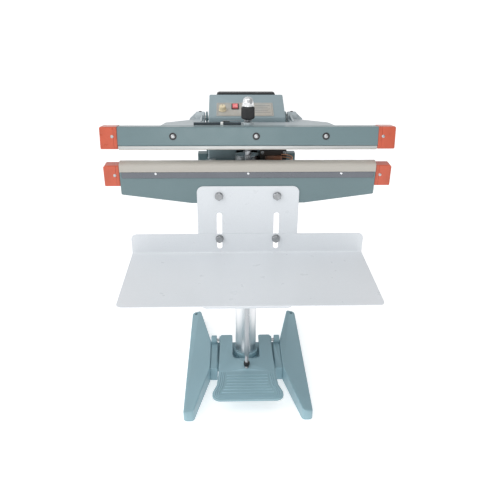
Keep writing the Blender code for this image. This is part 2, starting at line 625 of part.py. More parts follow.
def make_upper_jaw(paint, light, orange, steel, black, rubber, frame):
    """The pressing jaw, drawn closed; its frame tips it open about the pivot shaft."""
    section = ((JAW_FRONT, BAR_BOTTOM, 3), (BAR_REAR, BAR_BOTTOM, 3), (BAR_REAR, BAR_TOP, 3),
               (JAW_FRONT, BAR_TOP, 3))
    tube = section_tube(rounded(section, 3), rounded(inset(section, 2.5), 3), -BAR_HALF, BAR_HALF, "X")
    make("upper_bar", tube, paint, frame)
    for side, sign in SIDES:
        shape = [(sign * (BAR_HALF + GAP), UPPER_CAP_BOTTOM), (sign * CAP_END, UPPER_CAP_BOTTOM, 3),
                 (sign * CAP_END, BAR_TOP + 1.2, 5), (sign * (BAR_HALF + GAP), BAR_TOP + 1.2)]
        plug = prism(rounded(inset(section, 2.9), 2), *sorted((sign * 306, sign * (BAR_HALF + 2))), "X")
        make(f"upper_cap_{side}", prism(rounded(shape, 3), -105.8, -62.2, "Y"), orange, frame, add=[plug])
    holder = [(-103, 697.6), (-66, 697.6), (-66, 705.0), (-103, 705.0)]
    make("pad_holder", prism(holder, -PAD_HALF, PAD_HALF, "X"), steel, frame)
    pad = [(-95, 695.2), (-93.5, 694.4), (-75.5, 694.4), (-74, 695.2), (-74, 697.3), (-95, 697.3)]
    make("silicone_pad", prism(pad, -PAD_HALF, PAD_HALF, "X"), rubber, frame)
    for number, x in enumerate((-186, 19, 192), 1):
        screw = pan_screw(6.0, 3.2, 2.0, 0.2, (x, 728.6, JAW_FRONT - GAP), "Y", -1)
        make(f"bar_screw_{number}", screw, steel, frame)

    half = [(221, BAR_REAR + GAP, 3), (215, 5, 16), (147, 87, 14), (142, 134, 10), (114.5, 134, 6),
            (114.5, 10, 6)]
    outline = rounded(mirrored(half), 4)
    plate = prism(outline, BAR_TOP - 8, BAR_TOP, "Z")
    centre = (JAW_PIVOT.y, JAW_PIVOT.z)
    lugs = [rod(18.0, *sorted((sign * 114.5, sign * 141.5)), centre, "X", 32) for _, sign in SIDES]
    slant = [(139, BAR_TOP - 5), (158, BAR_TOP - 5), (158, BAR_TOP),
             (141.5, BAR_TOP + 15), (139, BAR_TOP + 15)]
    gussets = [prism([(sign * a, b) for a, b in slant], JAW_PIVOT.y - 9, JAW_PIVOT.y + 9, "Y")
               for _, sign in SIDES]
    boss = rod(14.5, BAR_TOP - 1, BAR_TOP + 6, (0.0, CARRIER_HOLE), "Z")
    rod_hole = rod(8.4, BAR_TOP - 20, BAR_TOP + 20, (0.0, CARRIER_HOLE), "Z")
    shaft_hole = rod(SHAFT_RADIUS + GAP, -142.0, 142.0, centre, "X")
    make("jaw_carrier", plate, light, frame, add=[*lugs, *gussets, boss],
         cut=[rod_hole, shaft_hole])

    cable = rod(3.2, -137.0, -17.0, (-57.5, BAR_TOP + 3.5), "X", 16)
    make("switch_cable", cable, black, frame)
    body = box(-66, -46, -48, -38, BAR_TOP + GAP, BAR_TOP + 8.3, 1.0)
    make("microswitch", body, black, frame)


def make_switch_lever(steel):
    """The microswitch's sprung lever, reaching towards the pressure knob."""
    point = tipped(Vector((-62.0, -43.0, BAR_TOP + 9.6)))
    frame = joint_frame("lever_axis", point, -JAW_OPEN)
    x, y, z = point
    lever = box(x - 2, x + 44, y - 3, y + 3, z - 0.4, z + 0.4, 1.0)
    make("switch_lever", lever, steel, frame)


def tipped(point):
    """Where a point of the closed jaw lies once the jaw is open."""
    return JAW_PIVOT + Matrix.Rotation(math.radians(-JAW_OPEN), 3, "X") @ (point - JAW_PIVOT)


# ---------------------------------------------------------------- inside the head

def make_transformer(dark, copper):
    """A laminated core standing on the platform, with one winding round its middle limb."""
    low = PLATFORM_TOP + GAP
    core = box(34, 104, -24, 4, low, low + 52)
    windows = [box(x, x + 14, -30, 10, low + 12, low + 40) for x in (46, 78)]
    make("transformer_core", core, dark, cut=windows)
    winding = box(46.3, 91.7, -35, 15, low + 12.3, low + 39.7, 6.0)
    limb = box(59.7, 78.3, -24.3, 4.3, low, low + 52)
    make("transformer_winding", winding, copper, cut=[limb])


def make_timer_board(green):
    """The printed board with its relay, capacitor and terminal block."""
    board = box(-70, 70, 32, 96, 694.0, 695.6)
    relay = box(-60, -32, 40, 56, 695.0, 711.0)
    capacitor = rod(9.0, 695.0, 722.0, (10.0, 60.0), "Z", 20)
    terminals = box(30, 66, 76, 88, 695.0, 706.0)
    make("timer_board", board, green, add=[relay, capacitor, terminals])


def main():
    clear_scene()
    grey_blue = finish("grey_blue_paint", (0.36, 0.45, 0.48), 0.1, 0.45)
    light_grey = finish("light_grey_casting", (0.55, 0.58, 0.60), 0.2, 0.5)
    white = finish("white_paint", (0.86, 0.87, 0.88), 0.0, 0.4)
    chrome = finish("chrome", (0.80, 0.81, 0.82), 1.0, 0.18)
    steel = finish("steel", (0.45, 0.46, 0.48), 1.0, 0.35)
    orange = finish("orange_caps", (0.72, 0.16, 0.07), 0.0, 0.45)
    black = finish("black_plastic", (0.02, 0.02, 0.022), 0.0, 0.45)
    cover_cloth = finish("release_cloth", (0.60, 0.58, 0.52), 0.0, 0.55)
    rubber = finish("silicone", (0.55, 0.52, 0.48), 0.0, 0.7)
    alloy = finish("heating_alloy", (0.55, 0.50, 0.45), 1.0, 0.4)
    label = finish("label_plate", (0.46, 0.46, 0.43), 0.1, 0.5)
    cream = finish("cream_knob", (0.72, 0.62, 0.42), 0.0, 0.4)
    red = finish("red_rocker", (0.70, 0.10, 0.12), 0.0, 0.3)
    copper = finish("winding", (0.45, 0.22, 0.12), 0.4, 0.4)
    dark = finish("core_steel", (0.07, 0.06, 0.06), 0.4, 0.6)
    green = finish("circuit_board", (0.05, 0.22, 0.10), 0.0, 0.5)

    jaw = joint_frame("jaw_axis", JAW_PIVOT, -JAW_OPEN)
    pedal = joint_frame("pedal_axis", PEDAL_PIVOT)
    pull = joint_frame("rod_axis", ROD_FOOT, ROD_TILT)
    table = joint_frame("table_slide", (0.0, BRACKET_FRONT, TABLE_HEIGHT))

    make_legs(grey_blue)
    make_base_hub(grey_blue)
    make_column(chrome)
    make_pedal(grey_blue, steel, pedal)
    make_pull_rod(steel, chrome, black, pull)
    make_return_spring(steel, pull)
    make_lower_jaw(grey_blue, orange, steel, cover_cloth, alloy)
    make_bracket(white, chrome)
    make_table(white, chrome, table)
    make_head_frame(grey_blue, steel)
    make_control_box(grey_blue, black)
    make_control_panel(label, black, cream, red, steel)
    make_upper_jaw(grey_blue, light_grey, orange, steel, black, rubber, jaw)
    make_switch_lever(steel)
    make_transformer(dark, copper)
    make_timer_board(green)


main()
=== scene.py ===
"""The looks of the foot-pedal impulse heat sealer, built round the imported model."""
import json
import math

import bmesh
import bpy
from mathutils import Matrix, Vector


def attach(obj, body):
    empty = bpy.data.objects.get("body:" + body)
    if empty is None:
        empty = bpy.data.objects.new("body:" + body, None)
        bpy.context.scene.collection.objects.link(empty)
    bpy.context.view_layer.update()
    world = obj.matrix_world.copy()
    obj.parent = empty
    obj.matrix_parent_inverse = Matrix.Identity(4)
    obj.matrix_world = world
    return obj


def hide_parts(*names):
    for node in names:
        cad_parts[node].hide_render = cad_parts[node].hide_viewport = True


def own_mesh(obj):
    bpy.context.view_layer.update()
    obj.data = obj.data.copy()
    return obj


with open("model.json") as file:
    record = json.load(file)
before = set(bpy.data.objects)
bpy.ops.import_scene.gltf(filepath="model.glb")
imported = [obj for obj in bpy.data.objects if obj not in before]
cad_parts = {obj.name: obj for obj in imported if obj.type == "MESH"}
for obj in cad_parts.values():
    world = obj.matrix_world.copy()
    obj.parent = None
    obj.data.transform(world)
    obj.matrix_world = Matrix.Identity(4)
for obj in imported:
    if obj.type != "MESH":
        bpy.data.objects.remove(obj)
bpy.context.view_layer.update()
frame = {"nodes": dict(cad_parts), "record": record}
JOINTS = {joint["name"]: joint for joint in frame["record"]["behaviour"]["joints"]}
SIDES = (("left", -1), ("right", 1))
TOUCH = 0.0003       # clearance between touching pieces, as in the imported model
FLAT_AREA = 2e-4     # a face this large, in square metres, is kept flat
FLAT_RATIO = 6.0     # and this many times larger than the face beside it
FLAT_ANGLE = math.radians(3)     # smaller bends stay smooth
BOLT_BORE = 0.0053   # the radius of the through holes for bolts and pins


# ---------------------------------------------------------------- local frames of the moving parts

def about(point, angle):
    """A turn about an axis along X through a point."""
    return Matrix.Translation(point) @ Matrix.Rotation(angle, 4, "X") @ Matrix.Translation(-point)


JAW_PIVOT = Vector(JOINTS["jaw_hinge"]["pos_m"])
CLOSING = math.radians(JOINTS["jaw_hinge"]["range_deg"][1])
OPEN_JAW = about(JAW_PIVOT, -CLOSING)
ROD_DOWN = Vector(JOINTS["rod_slide"]["axis"])
ROD_POINT = Vector(JOINTS["pressure_knob_turn"]["pos_m"])
LEAN = about(ROD_POINT, math.asin(ROD_DOWN.y))
LID_NORMAL = Vector(JOINTS["timer_knob_turn"]["axis"])
LID_POINT = Vector(JOINTS["timer_knob_turn"]["pos_m"])
SLOPE = math.asin(-LID_NORMAL.y)
LID = about(LID_POINT, SLOPE)
ROCKER_POINT = Vector(JOINTS["rocker_tilt"]["pos_m"])
ROCKER = about(ROCKER_POINT, SLOPE - math.radians(JOINTS["rocker_tilt"]["range_deg"][1]) / 2)
UPRIGHT = Matrix.Identity(4)


def span(node, local=UPRIGHT):
    """The lowest and highest corner of a node's mesh, measured in a local frame."""
    back = local.inverted()
    points = [back @ vertex.co for vertex in frame["nodes"][node].data.vertices]
    low = Vector([min(point[k] for point in points) for k in range(3)])
    high = Vector([max(point[k] for point in points) for k in range(3)])
    return low, high


# ---------------------------------------------------------------- shapes

def place(a, b, h, axis):
    """A point with plane coordinates a, b and height h along the given axis."""
    if axis == "X":
        return Vector((h, a, b))
    if axis == "Y":
        return Vector((a, h, b))
    return Vector((a, b, h))


def lofted(rings, closed=False):
    """Skin rings of equally many points; closed joins the last ring back to the first."""
    bm = bmesh.new()
    loops = [[bm.verts.new(point) for point in ring] for ring in rings]
    following = loops[1:] + loops[:1] if closed else loops[1:]
    for lower, upper in zip(loops, following):
        for k in range(len(lower)):
            n = (k + 1) % len(lower)
            bm.faces.new((lower[k], lower[n], upper[n], upper[k]))
    if not closed:
        bm.faces.new(loops[0])
        bm.faces.new(loops[-1])
    bmesh.ops.recalc_face_normals(bm, faces=bm.faces)
    return bm


def rounded(corners, steps=8, shift=0.0):
    """An outline from (a, b, radius) corners; shift moves every side inwards."""
    points = [Vector(corner[:2]) for corner in corners]
    area = sum(p.x * q.y - q.x * p.y for p, q in zip(points, points[1:] + points[:1]))
    hand = 1.0 if area > 0 else -1.0
    outline = []
    for k, corner in enumerate(corners):
        before = (points[k] - points[k - 1]).normalized()
        after = (points[(k + 1) % len(points)] - points[k]).normalized()
        inward = (Vector((-before.y, before.x)) + Vector((-after.y, after.x))).normalized() * hand
        here = points[k] + inward * shift / inward.dot(Vector((-after.y, after.x)) * hand)
        bend = before.cross(after) * hand
        radius = max(corner[2] - shift if bend > 0 else corner[2] + shift, 1e-4)
        half = (-before).angle(after) / 2
        reach = radius / math.tan(half)
        centre = here + (after - before).normalized() * radius / math.sin(half)
        start = here - before * reach - centre
        sweep = -start.angle_signed(here + after * reach - centre)
        for step in range(steps + 1):
            outline.append(centre + Matrix.Rotation(sweep * step / steps, 2) @ start)
    return outline


def oblong(left, bottom, right, top, radius, top_radius=None):
    """The four corners of an upright rectangle, for rounded() and slab()."""
    upper = radius if top_radius is None else top_radius
    return [(left, bottom, radius), (right, bottom, radius), (right, top, upper), (left, top, upper)]


def slab(corners, low, high, axis="Z", edge=0.0008, steps=8, both=True, top=None):
    """A prism of the rounded outline with softened edges; top gives a height for each outline point."""
    bends = [math.radians(a) for a in (0, 30, 60, 90)]
    stations = [(0.0, low, 0)]
    if edge and both:
        stations = [(edge * (1 - math.sin(t)), low + edge * (1 - math.cos(t)), 0) for t in bends]
    if edge:
        stations += [(edge * (1 - math.cos(t)), high - edge * (1 - math.sin(t)), 1) for t in bends]
    else:
        stations.append((0.0, high, 1))
    rings = []
    for shift, height, upper in stations:
        ring = []
        for point in rounded(corners, steps, shift):
            lift = top(point) if top and upper else 0.0
            ring.append(place(point.x, point.y, height + lift, axis))
        rings.append(ring)
    return lofted(rings)


def block(low, high, radius=0.001, edge=0.0008, axis="Z", steps=5):
    """A slab from its two corners."""
    order = {"X": (1, 2, 0), "Y": (0, 2, 1), "Z": (0, 1, 2)}[axis]
    a, b, h = order
    corners = oblong(low[a], low[b], high[a], high[b], radius)
    return slab(corners, low[h], high[h], axis, edge, steps)


def turned(profile, centre, axis="Z", closed=False, count=64, shape=None):
    """Revolve (radius, height) pairs; a third value "hex" makes that ring a hexagon."""
    rings = []
    a0, b0, h0 = centre
    for station in profile:
        radius, height = station[:2]
        ring = []
        for k in range(count):
            angle = 2 * math.pi * k / count
            reach = radius
            if len(station) > 2:
                reach = radius / math.cos((angle + math.pi / 6) % (math.pi / 3) - math.pi / 6)
            if shape:
                reach *= shape(angle, height)
            ring.append(place(a0 + reach * math.cos(angle), b0 + reach * math.sin(angle), h0 + height, axis))
        rings.append(ring)
    return lofted(rings, closed)


def axis_centre(low, high, axis):
    """The plane centre of a box and its low end, for turned()."""
    middle = (low + high) / 2
    if axis == "X":
        return (middle.y, middle.z, low.x)
    if axis == "Y":
        return (middle.x, middle.z, low.y)
    return (middle.x, middle.y, low.z)


def swept(path, radius, sides=12, flat=1.0, up=Vector((0, 0, 1))):
    """A round or flattened rod along a path of points."""
    rings = []
    for k, point in enumerate(path):
        ahead = (path[min(k + 1, len(path) - 1)] - path[max(k - 1, 0)]).normalized()
        across = ahead.cross(up)
        if across.length < 1e-6:
            across = ahead.cross(Vector((0, 1, 0)))
        across.normalize()
        over = across.cross(ahead)
        rings.append([point + (across * math.cos(2 * math.pi * s / sides)
                               + over * math.sin(2 * math.pi * s / sides) * flat) * radius
                      for s in range(sides)])
    return lofted(rings)


def flat_borders(bm):
    """The edges between a large flat face and the strips of a rounding; sharp, they keep it flat."""
    bm.normal_update()
    bm.edges.index_update()
    borders = []
    for edge in bm.edges:
        if len(edge.link_faces) != 2:
            continue
        small, large = sorted(face.calc_area() for face in edge.link_faces)
        if large > FLAT_AREA and large > FLAT_RATIO * small and edge.calc_face_angle(0.0) > FLAT_ANGLE:
            borders.append(edge.index)
    return borders


def piece(name, bm, material, body, local=UPRIGHT, replaces=(), sharp=40.0):
    """One finished object from a mesh drawn in a local frame, riding on a body."""
    bmesh.ops.transform(bm, matrix=local, verts=bm.verts)
    borders = flat_borders(bm)
    mesh = bpy.data.meshes.new(name)
    bm.to_mesh(mesh)
    bm.free()
    mesh.shade_smooth()
    mesh.set_sharp_from_angle(angle=math.radians(sharp))
    for index in borders:
        mesh.edges[index].use_edge_sharp = True
    item = bpy.data.objects.new(name, mesh)
    bpy.context.scene.collection.objects.link(item)
    normals = item.modifiers.new("normals", "WEIGHTED_NORMAL")
    normals.keep_sharp = True
    mesh.materials.append(material)
    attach(item, body)
    if replaces:
        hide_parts(*replaces)
    return item


def combined(solids, operation="UNION", base=None):
    """Join solids into one, or cut them from a base, with exact Booleans."""
    def temporary(bm):
        mesh = bpy.data.meshes.new("temporary")
        bm.to_mesh(mesh)
        bm.free()
        item = bpy.data.objects.new("temporary", mesh)
        bpy.context.scene.collection.objects.link(item)
        return item

    main = temporary(base if base else solids[0])
    tools = [temporary(bm) for bm in (solids if base else solids[1:])]
    for tool in tools:
        modifier = main.modifiers.new("join", "BOOLEAN")
        modifier.operation = operation
        modifier.object = tool
    graph = bpy.context.evaluated_depsgraph_get()
    result = bmesh.new()
    result.from_object(main, graph)
    for item in (main, *tools):
        mesh = item.data
        bpy.data.objects.remove(item)
        bpy.data.meshes.remove(mesh)
    return result


def cut(base, solids):
    return combined(solids, "DIFFERENCE", base)


def many(solids):
    """Several separate closed solids in one mesh."""
    whole = bmesh.new()
    for bm in solids:
        mesh = bpy.data.meshes.new("part")
        bm.to_mesh(mesh)
        bm.free()
        whole.from_mesh(mesh)
        bpy.data.meshes.remove(mesh)
    return whole


# ---------------------------------------------------------------- materials

def set_range(node, *numbers):
    """Fill a Map Range node: the range read, then the range given out."""
    for socket, number in zip(("From Min", "From Max", "To Min", "To Max"), numbers):
        node.inputs[socket].default_value = number


class Surface:
    """A Principled material built up from procedural layers in object coordinates."""

    def __init__(self, name, roughness=0.5, metallic=0.0, coat=0.0, coat_roughness=0.1, ior=1.5):
        self.material = bpy.data.materials.new(name)
        self.material.use_nodes = True
        self.tree = self.material.node_tree
        self.shader = self.tree.nodes["Principled BSDF"]
        self.shader.inputs["Roughness"].default_value = roughness
        self.shader.inputs["Metallic"].default_value = metallic
        self.shader.inputs["Coat Weight"].default_value = coat
        self.shader.inputs["Coat Roughness"].default_value = coat_roughness
        self.shader.inputs["IOR"].default_value = ior
        self.coordinates = self.tree.nodes.new("ShaderNodeTexCoord")
        self.height = None

    def node(self, kind, **settings):
        made = self.tree.nodes.new(kind)
        for key, value in settings.items():
            if hasattr(made, key):
                setattr(made, key, value)
            else:
                made.inputs[key.replace("_", " ").title()].default_value = value
        return made

    def link(self, source, target):
        self.tree.links.new(source, target)

    def mapped(self, stretch=(1, 1, 1), turn=(0, 0, 0)):
        mapping = self.node("ShaderNodeMapping")
        mapping.inputs["Scale"].default_value = stretch
        mapping.inputs["Rotation"].default_value = turn
        self.link(self.coordinates.outputs["Object"], mapping.inputs["Vector"])
        return mapping.outputs["Vector"]

    def noise(self, scale, detail=3.0, stretch=(1, 1, 1)):
        made = self.node("ShaderNodeTexNoise", scale=scale, detail=detail)
        self.link(self.mapped(stretch), made.inputs["Vector"])
        return made.outputs["Fac"]

    def wave(self, scale, direction="X", distortion=0.0, profile="SIN", turn=(0, 0, 0)):
        made = self.node("ShaderNodeTexWave", wave_profile=profile, bands_direction=direction)
        made.inputs["Scale"].default_value = scale
        made.inputs["Distortion"].default_value = distortion
        self.link(self.mapped(turn=turn), made.inputs["Vector"])
        return made.outputs["Fac"]

    def cells(self, scale, feature="F1"):
        made = self.node("ShaderNodeTexVoronoi", scale=scale, feature=feature)
        self.link(self.mapped(), made.inputs["Vector"])
        return made.outputs["Distance"]

    def remap(self, value, low, high, out_low=0.0, out_high=1.0):
        made = self.node("ShaderNodeMapRange")
        set_range(made, low, high, out_low, out_high)
        self.link(value, made.inputs["Value"])
        return made.outputs["Result"]

    def blend(self, factor, first, second, kind="MIX"):
        """Mix two colours; each is a colour or another mix's output."""
        made = self.node("ShaderNodeMix", data_type="RGBA", blend_type=kind)
        self.link(factor, made.inputs["Factor"])
        for socket, colour in (("A", first), ("B", second)):
            target = [entry for entry in made.inputs if entry.name == socket and entry.type == "RGBA"][0]
            if isinstance(colour, (tuple, list)):
                target.default_value = (*colour, 1.0)
            else:
                self.link(colour, target)
        return [entry for entry in made.outputs if entry.type == "RGBA"][0]

    def worn(self):
        """One on outside edges, nought on flats and in corners."""
        geometry = self.node("ShaderNodeNewGeometry")
        return self.remap(geometry.outputs["Pointiness"], 0.52, 0.62)

    def colour(self, value):
        self.link(value, self.shader.inputs["Base Color"])

    def rough(self, value):
        self.link(value, self.shader.inputs["Roughness"])

    def bump(self, value, strength=0.2, distance=0.0002):
        made = self.node("ShaderNodeBump")
        made.inputs["Strength"].default_value = strength
        made.inputs["Distance"].default_value = distance
        self.link(value, made.inputs["Height"])
        if self.height:
            self.link(self.height, made.inputs["Normal"])
        self.height = made.outputs["Normal"]
        self.link(self.height, self.shader.inputs["Normal"])


def tones(colour, spread):
    return [channel * (1 - spread) for channel in colour], [channel * (1 + spread) for channel in colour]


def paint(name, colour, roughness=0.38, spread=0.06, grain=0.18, coat=0.25, cast=False, wear=True):
    """Sprayed enamel: soft clouding, orange peel and, with wear, lighter rubbed edges."""
    surface = Surface(name, roughness, coat=coat, coat_roughness=0.18)
    dark, light = tones(colour, spread)
    cloud = surface.blend(surface.remap(surface.noise(9.0, 5.0), 0.3, 0.7), dark, light)
    speck = surface.remap(surface.noise(900.0, 2.0), 0.35, 0.65)
    fine = surface.blend(speck, tones(colour, 0.05)[0], tones(colour, 0.05)[1])
    both = surface.blend(surface.remap(surface.noise(60.0), 0.3, 0.7, 0.35, 0.65), cloud, fine)
    pale = [min(1.0, channel * 1.35 + 0.03) for channel in colour]
    surface.colour(surface.blend(surface.worn(), both, pale) if wear else both)
    surface.rough(surface.remap(surface.noise(35.0, 4.0), 0.3, 0.7, roughness - 0.07, roughness + 0.09))
    surface.bump(surface.noise(420.0, 2.0), grain, 0.00025)
    if cast:
        surface.bump(surface.noise(95.0, 4.0), 0.35, 0.0006)
    return surface.material


def plating(name, colour, roughness=0.12, drawn=None, spread=0.04):
    """Bright metal with faint smears and, if drawn, fine lines along one direction."""
    surface = Surface(name, roughness, metallic=1.0)
    dark, light = tones(colour, spread)
    surface.colour(surface.blend(surface.remap(surface.noise(12.0, 3.0), 0.3, 0.7), dark, light))
    surface.rough(surface.remap(surface.noise(22.0, 3.0), 0.3, 0.7, max(roughness - 0.03, 0.03),
                                roughness + 0.05))
    if drawn:
        surface.bump(surface.noise(600.0, 2.0, drawn), 0.12, 0.00005)
    else:
        surface.bump(surface.noise(60.0, 2.0), 0.04, 0.0001)
    return surface.material


def plastic(name, colour, roughness=0.4, grain=0.2, size=700.0, coat=0.0, spread=0.08):
    """Moulded plastic with a fine spark-eroded grain and edges polished by use."""
    surface = Surface(name, roughness, coat=coat)
    dark, light = tones(colour, spread)
    base = surface.blend(surface.remap(surface.noise(40.0, 4.0), 0.3, 0.7), dark, light)
    pale = [min(1.0, channel * 1.25 + 0.02) for channel in colour]
    surface.colour(surface.blend(surface.worn(), base, pale))
    surface.rough(surface.remap(surface.noise(80.0, 3.0), 0.3, 0.7, roughness - 0.06, roughness + 0.08))
    surface.bump(surface.cells(size), grain, 0.0001)
    return surface.material


def woven_cloth():
    """Glass cloth coated with a slippery satin film: crossed yarns under a waxy tan-white coat."""
    surface = Surface("release_cloth", 0.34, coat=0.2, coat_roughness=0.3)
    along = surface.wave(260.0, "X")
    across = surface.wave(260.0, "Z", turn=(math.radians(45), 0, 0))
    weave = surface.node("ShaderNodeMath", operation="MAXIMUM")
    surface.link(along, weave.inputs[0])
    surface.link(across, weave.inputs[1])
    base = surface.blend(weave.outputs[0], (0.404, 0.382, 0.340), (0.533, 0.506, 0.458))
    stain = surface.remap(surface.noise(6.0, 5.0, (0.4, 1, 1)), 0.52, 0.75)
    surface.colour(surface.blend(stain, base, (0.43, 0.39, 0.316)))
    surface.rough(surface.remap(surface.noise(30.0), 0.3, 0.7, 0.28, 0.42))
    surface.bump(weave.outputs[0], 0.12, 0.00015)
    surface.bump(surface.noise(18.0, 3.0, (0.3, 1, 1)), 0.25, 0.0008)
    return surface.material


def lit_rocker():
    """Translucent red moulding over a small lamp."""
    surface = Surface("red_rocker", 0.22, coat=0.5)
    core = surface.remap(surface.noise(120.0, 3.0), 0.3, 0.7)
    surface.colour(surface.blend(core, (0.66, 0.12, 0.13), (0.82, 0.26, 0.27)))
    surface.shader.inputs["Emission Color"].default_value = (1.0, 0.12, 0.12, 1.0)
    surface.shader.inputs["Emission Strength"].default_value = 0.18
    surface.bump(surface.noise(400.0), 0.05)
    return surface.material


def label_film():
    """A printed film plate: grey-beige ground with a faint mottled print and dull coating."""
    surface = Surface("label_film", 0.42, coat=0.15, coat_roughness=0.3)
    base = surface.blend(surface.remap(surface.noise(50.0, 5.0), 0.3, 0.7), (0.40, 0.40, 0.37),
                         (0.50, 0.50, 0.47))
    surface.colour(surface.blend(surface.remap(surface.noise(14.0), 0.45, 0.7), base, (0.46, 0.42, 0.36)))
    surface.bump(surface.noise(700.0), 0.08)
    return surface.material


def laminations():
    """Varnished stacked sheet, its edges showing as fine lines."""
    surface = Surface("laminations", 0.5, metallic=0.3)
    lines = surface.wave(95.0, "Y")
    surface.colour(surface.blend(lines, (0.030, 0.026, 0.024), (0.075, 0.062, 0.055)))
    surface.rough(surface.remap(surface.noise(60.0), 0.3, 0.7, 0.4, 0.6))
    surface.bump(lines, 0.4, 0.0003)
    return surface.material


def taped_winding():
    """Enamelled copper wire seen through varnished tape."""
    surface = Surface("taped_winding", 0.35, coat=0.4)
    turns = surface.wave(180.0, "Z")
    wire = surface.blend(turns, (0.16, 0.055, 0.025), (0.42, 0.17, 0.08))
    surface.colour(surface.blend(surface.remap(surface.noise(30.0, 4.0), 0.45, 0.6), wire,
                                 (0.12, 0.07, 0.05)))
    surface.rough(surface.remap(surface.noise(90.0), 0.3, 0.7, 0.28, 0.45))
    surface.bump(turns, 0.5, 0.0004)
    return surface.material


def circuit_board():
    surface = Surface("circuit_board", 0.35, coat=0.3)
    tracks = surface.remap(surface.wave(40.0, "X", 6.0), 0.7, 0.75)
    surface.colour(surface.blend(tracks, (0.02, 0.12, 0.05), (0.05, 0.26, 0.12)))
    surface.bump(tracks, 0.2, 0.0001)
    return surface.material


GREY_BLUE = paint("grey_blue_enamel", (0.150, 0.224, 0.240), 0.36, wear=False)
CAST_BLUE = paint("cast_grey_blue", (0.247, 0.391, 0.443), 0.46, 0.08, 0.2, 0.15, cast=True)
BOX_BLUE = paint("box_grey_blue", (0.270, 0.352, 0.380), 0.40)
LIGHT_CAST = paint("light_grey_casting", (0.44, 0.49, 0.51), 0.44, 0.06, 0.2, 0.15, cast=True)
WHITE = paint("white_powder_coat", (0.76, 0.79, 0.82), 0.34, 0.012, 0.08, 0.25, wear=False)
ORANGE = plastic("orange_cap", (0.53, 0.085, 0.035), 0.32, 0.15, 500.0, 0.4, 0.12)
BLACK = plastic("black_plastic", (0.018, 0.019, 0.021), 0.42)
CABLE = plastic("cable_sheath", (0.030, 0.045, 0.055), 0.45, 0.15)
CREAM = plastic("cream_plastic", (0.72, 0.62, 0.42), 0.35, 0.1)
CLIP = plastic("clip_plastic", (0.75, 0.76, 0.74), 0.35, 0.1)
SILICONE = plastic("silicone_rubber", (0.52, 0.49, 0.45), 0.62, 0.25, 400.0)
BASE_TAPE = plastic("insulating_base", (0.42, 0.36, 0.28), 0.6, 0.3, 300.0)
COLUMN = plating("column_plate", (0.88, 0.88, 0.89), 0.36, (1, 1, 0.02), 0.02)
CHROME = plating("chrome", (0.84, 0.85, 0.86), 0.08)
ZINC = plating("zinc_steel", (0.55, 0.56, 0.57), 0.28)
BOLT = plating("bolt_steel", (0.36, 0.37, 0.38), 0.30)
ROD_STEEL = plating("rod_steel", (0.44, 0.46, 0.48), 0.30, (1, 1, 0.03))
STRIP = plating("strip_steel", (0.17, 0.18, 0.20), 0.24, (0.02, 1, 1))
HOLDER = plating("holder_steel", (0.55, 0.56, 0.55), 0.42, (0.02, 1, 1))
RIBBON = plating("heating_alloy", (0.42, 0.37, 0.33), 0.35, (0.02, 1, 1))
SPRING = plating("spring_steel", (0.36, 0.37, 0.39), 0.25)
CLOTH = woven_cloth()
ROCKER_RED = lit_rocker()
LABEL = label_film()
CORE = laminations()
WINDING = taped_winding()
BOARD = circuit_board()
PRINT = plastic("label_ink", (0.10, 0.10, 0.11), 0.5, 0.05)
COPPER = plating("copper_lead", (0.62, 0.32, 0.20), 0.3)


# ---------------------------------------------------------------- pedestal

LEG_TIP = 0.029
LEG_WAIST = (0.032, -0.104)
LEG_SLOPE = 0.28
PEDAL_HALF = (
    (0.0415, 0.047, 0.005), (0.080, 0.047, 0.006), (0.084, -0.144, 0.030), (0.089, -0.200, 0.030),
    (0.100, -0.230, 0.014), (0.100, -0.262, 0.022),
)
PEDAL_NOTCH = (0.0415, -0.076, 0.014)


def mirrored(half):
    return list(half) + [(-corner[0], *corner[1:]) for corner in reversed(half)]


def make_legs():
    """Hollow cast feet with softened upper edges and a dark screw at the rear tip."""
    for side, sign in SIDES:
        low, high = span(f"{side}_leg")
        outer, inner = (low.x, high.x) if sign < 0 else (high.x, low.x)
        tip = outer - sign * LEG_TIP
        rear_waist, front_waist = LEG_WAIST
        corners = [(tip, low.y, 0.011), (outer, low.y, 0.011), (outer, high.y, 0.011), (tip, high.y, 0.011),
                   (inner, rear_waist, 0.010), (inner, front_waist, 0.010)]

        def slope(point, inner=inner):
            return -LEG_SLOPE * (abs(point.x) - abs(inner))

        body = slab(corners, low.z, high.z, edge=0.0035, both=False, top=slope)
        inside = lofted([[(p.x, p.y, z + (slope(p) if z > 0 else 0)) for p in rounded(corners, 8, 0.005)]
                         for z in (-0.001, high.z - 0.005)])
        spots = [Vector((sign * 0.167, y, 0)) for y in (high.y - 0.015,)]
        holes = [turned(((0.0055, 0.025), (0.0055, 0.06)), (spot.x, spot.y, 0), count=32) for spot in spots]
        piece(f"{side}_foot", cut(body, [inside, *holes]), CAST_BLUE, "stand", replaces=[f"{side}_leg"])
        screws = []
        for spot in spots:
            head = high.z + slope(spot) - 0.006
            profile = ((0.0052, -0.006), (0.0052, -0.0008), (0.0044, 0.0), (0.0026, 0.0, "hex"),
                       (0.0026, -0.003, "hex"))
            screws.append(turned(profile, (spot.x, spot.y, head), count=36))
        piece(f"{side}_foot_screws", many(screws), BLACK, "stand")


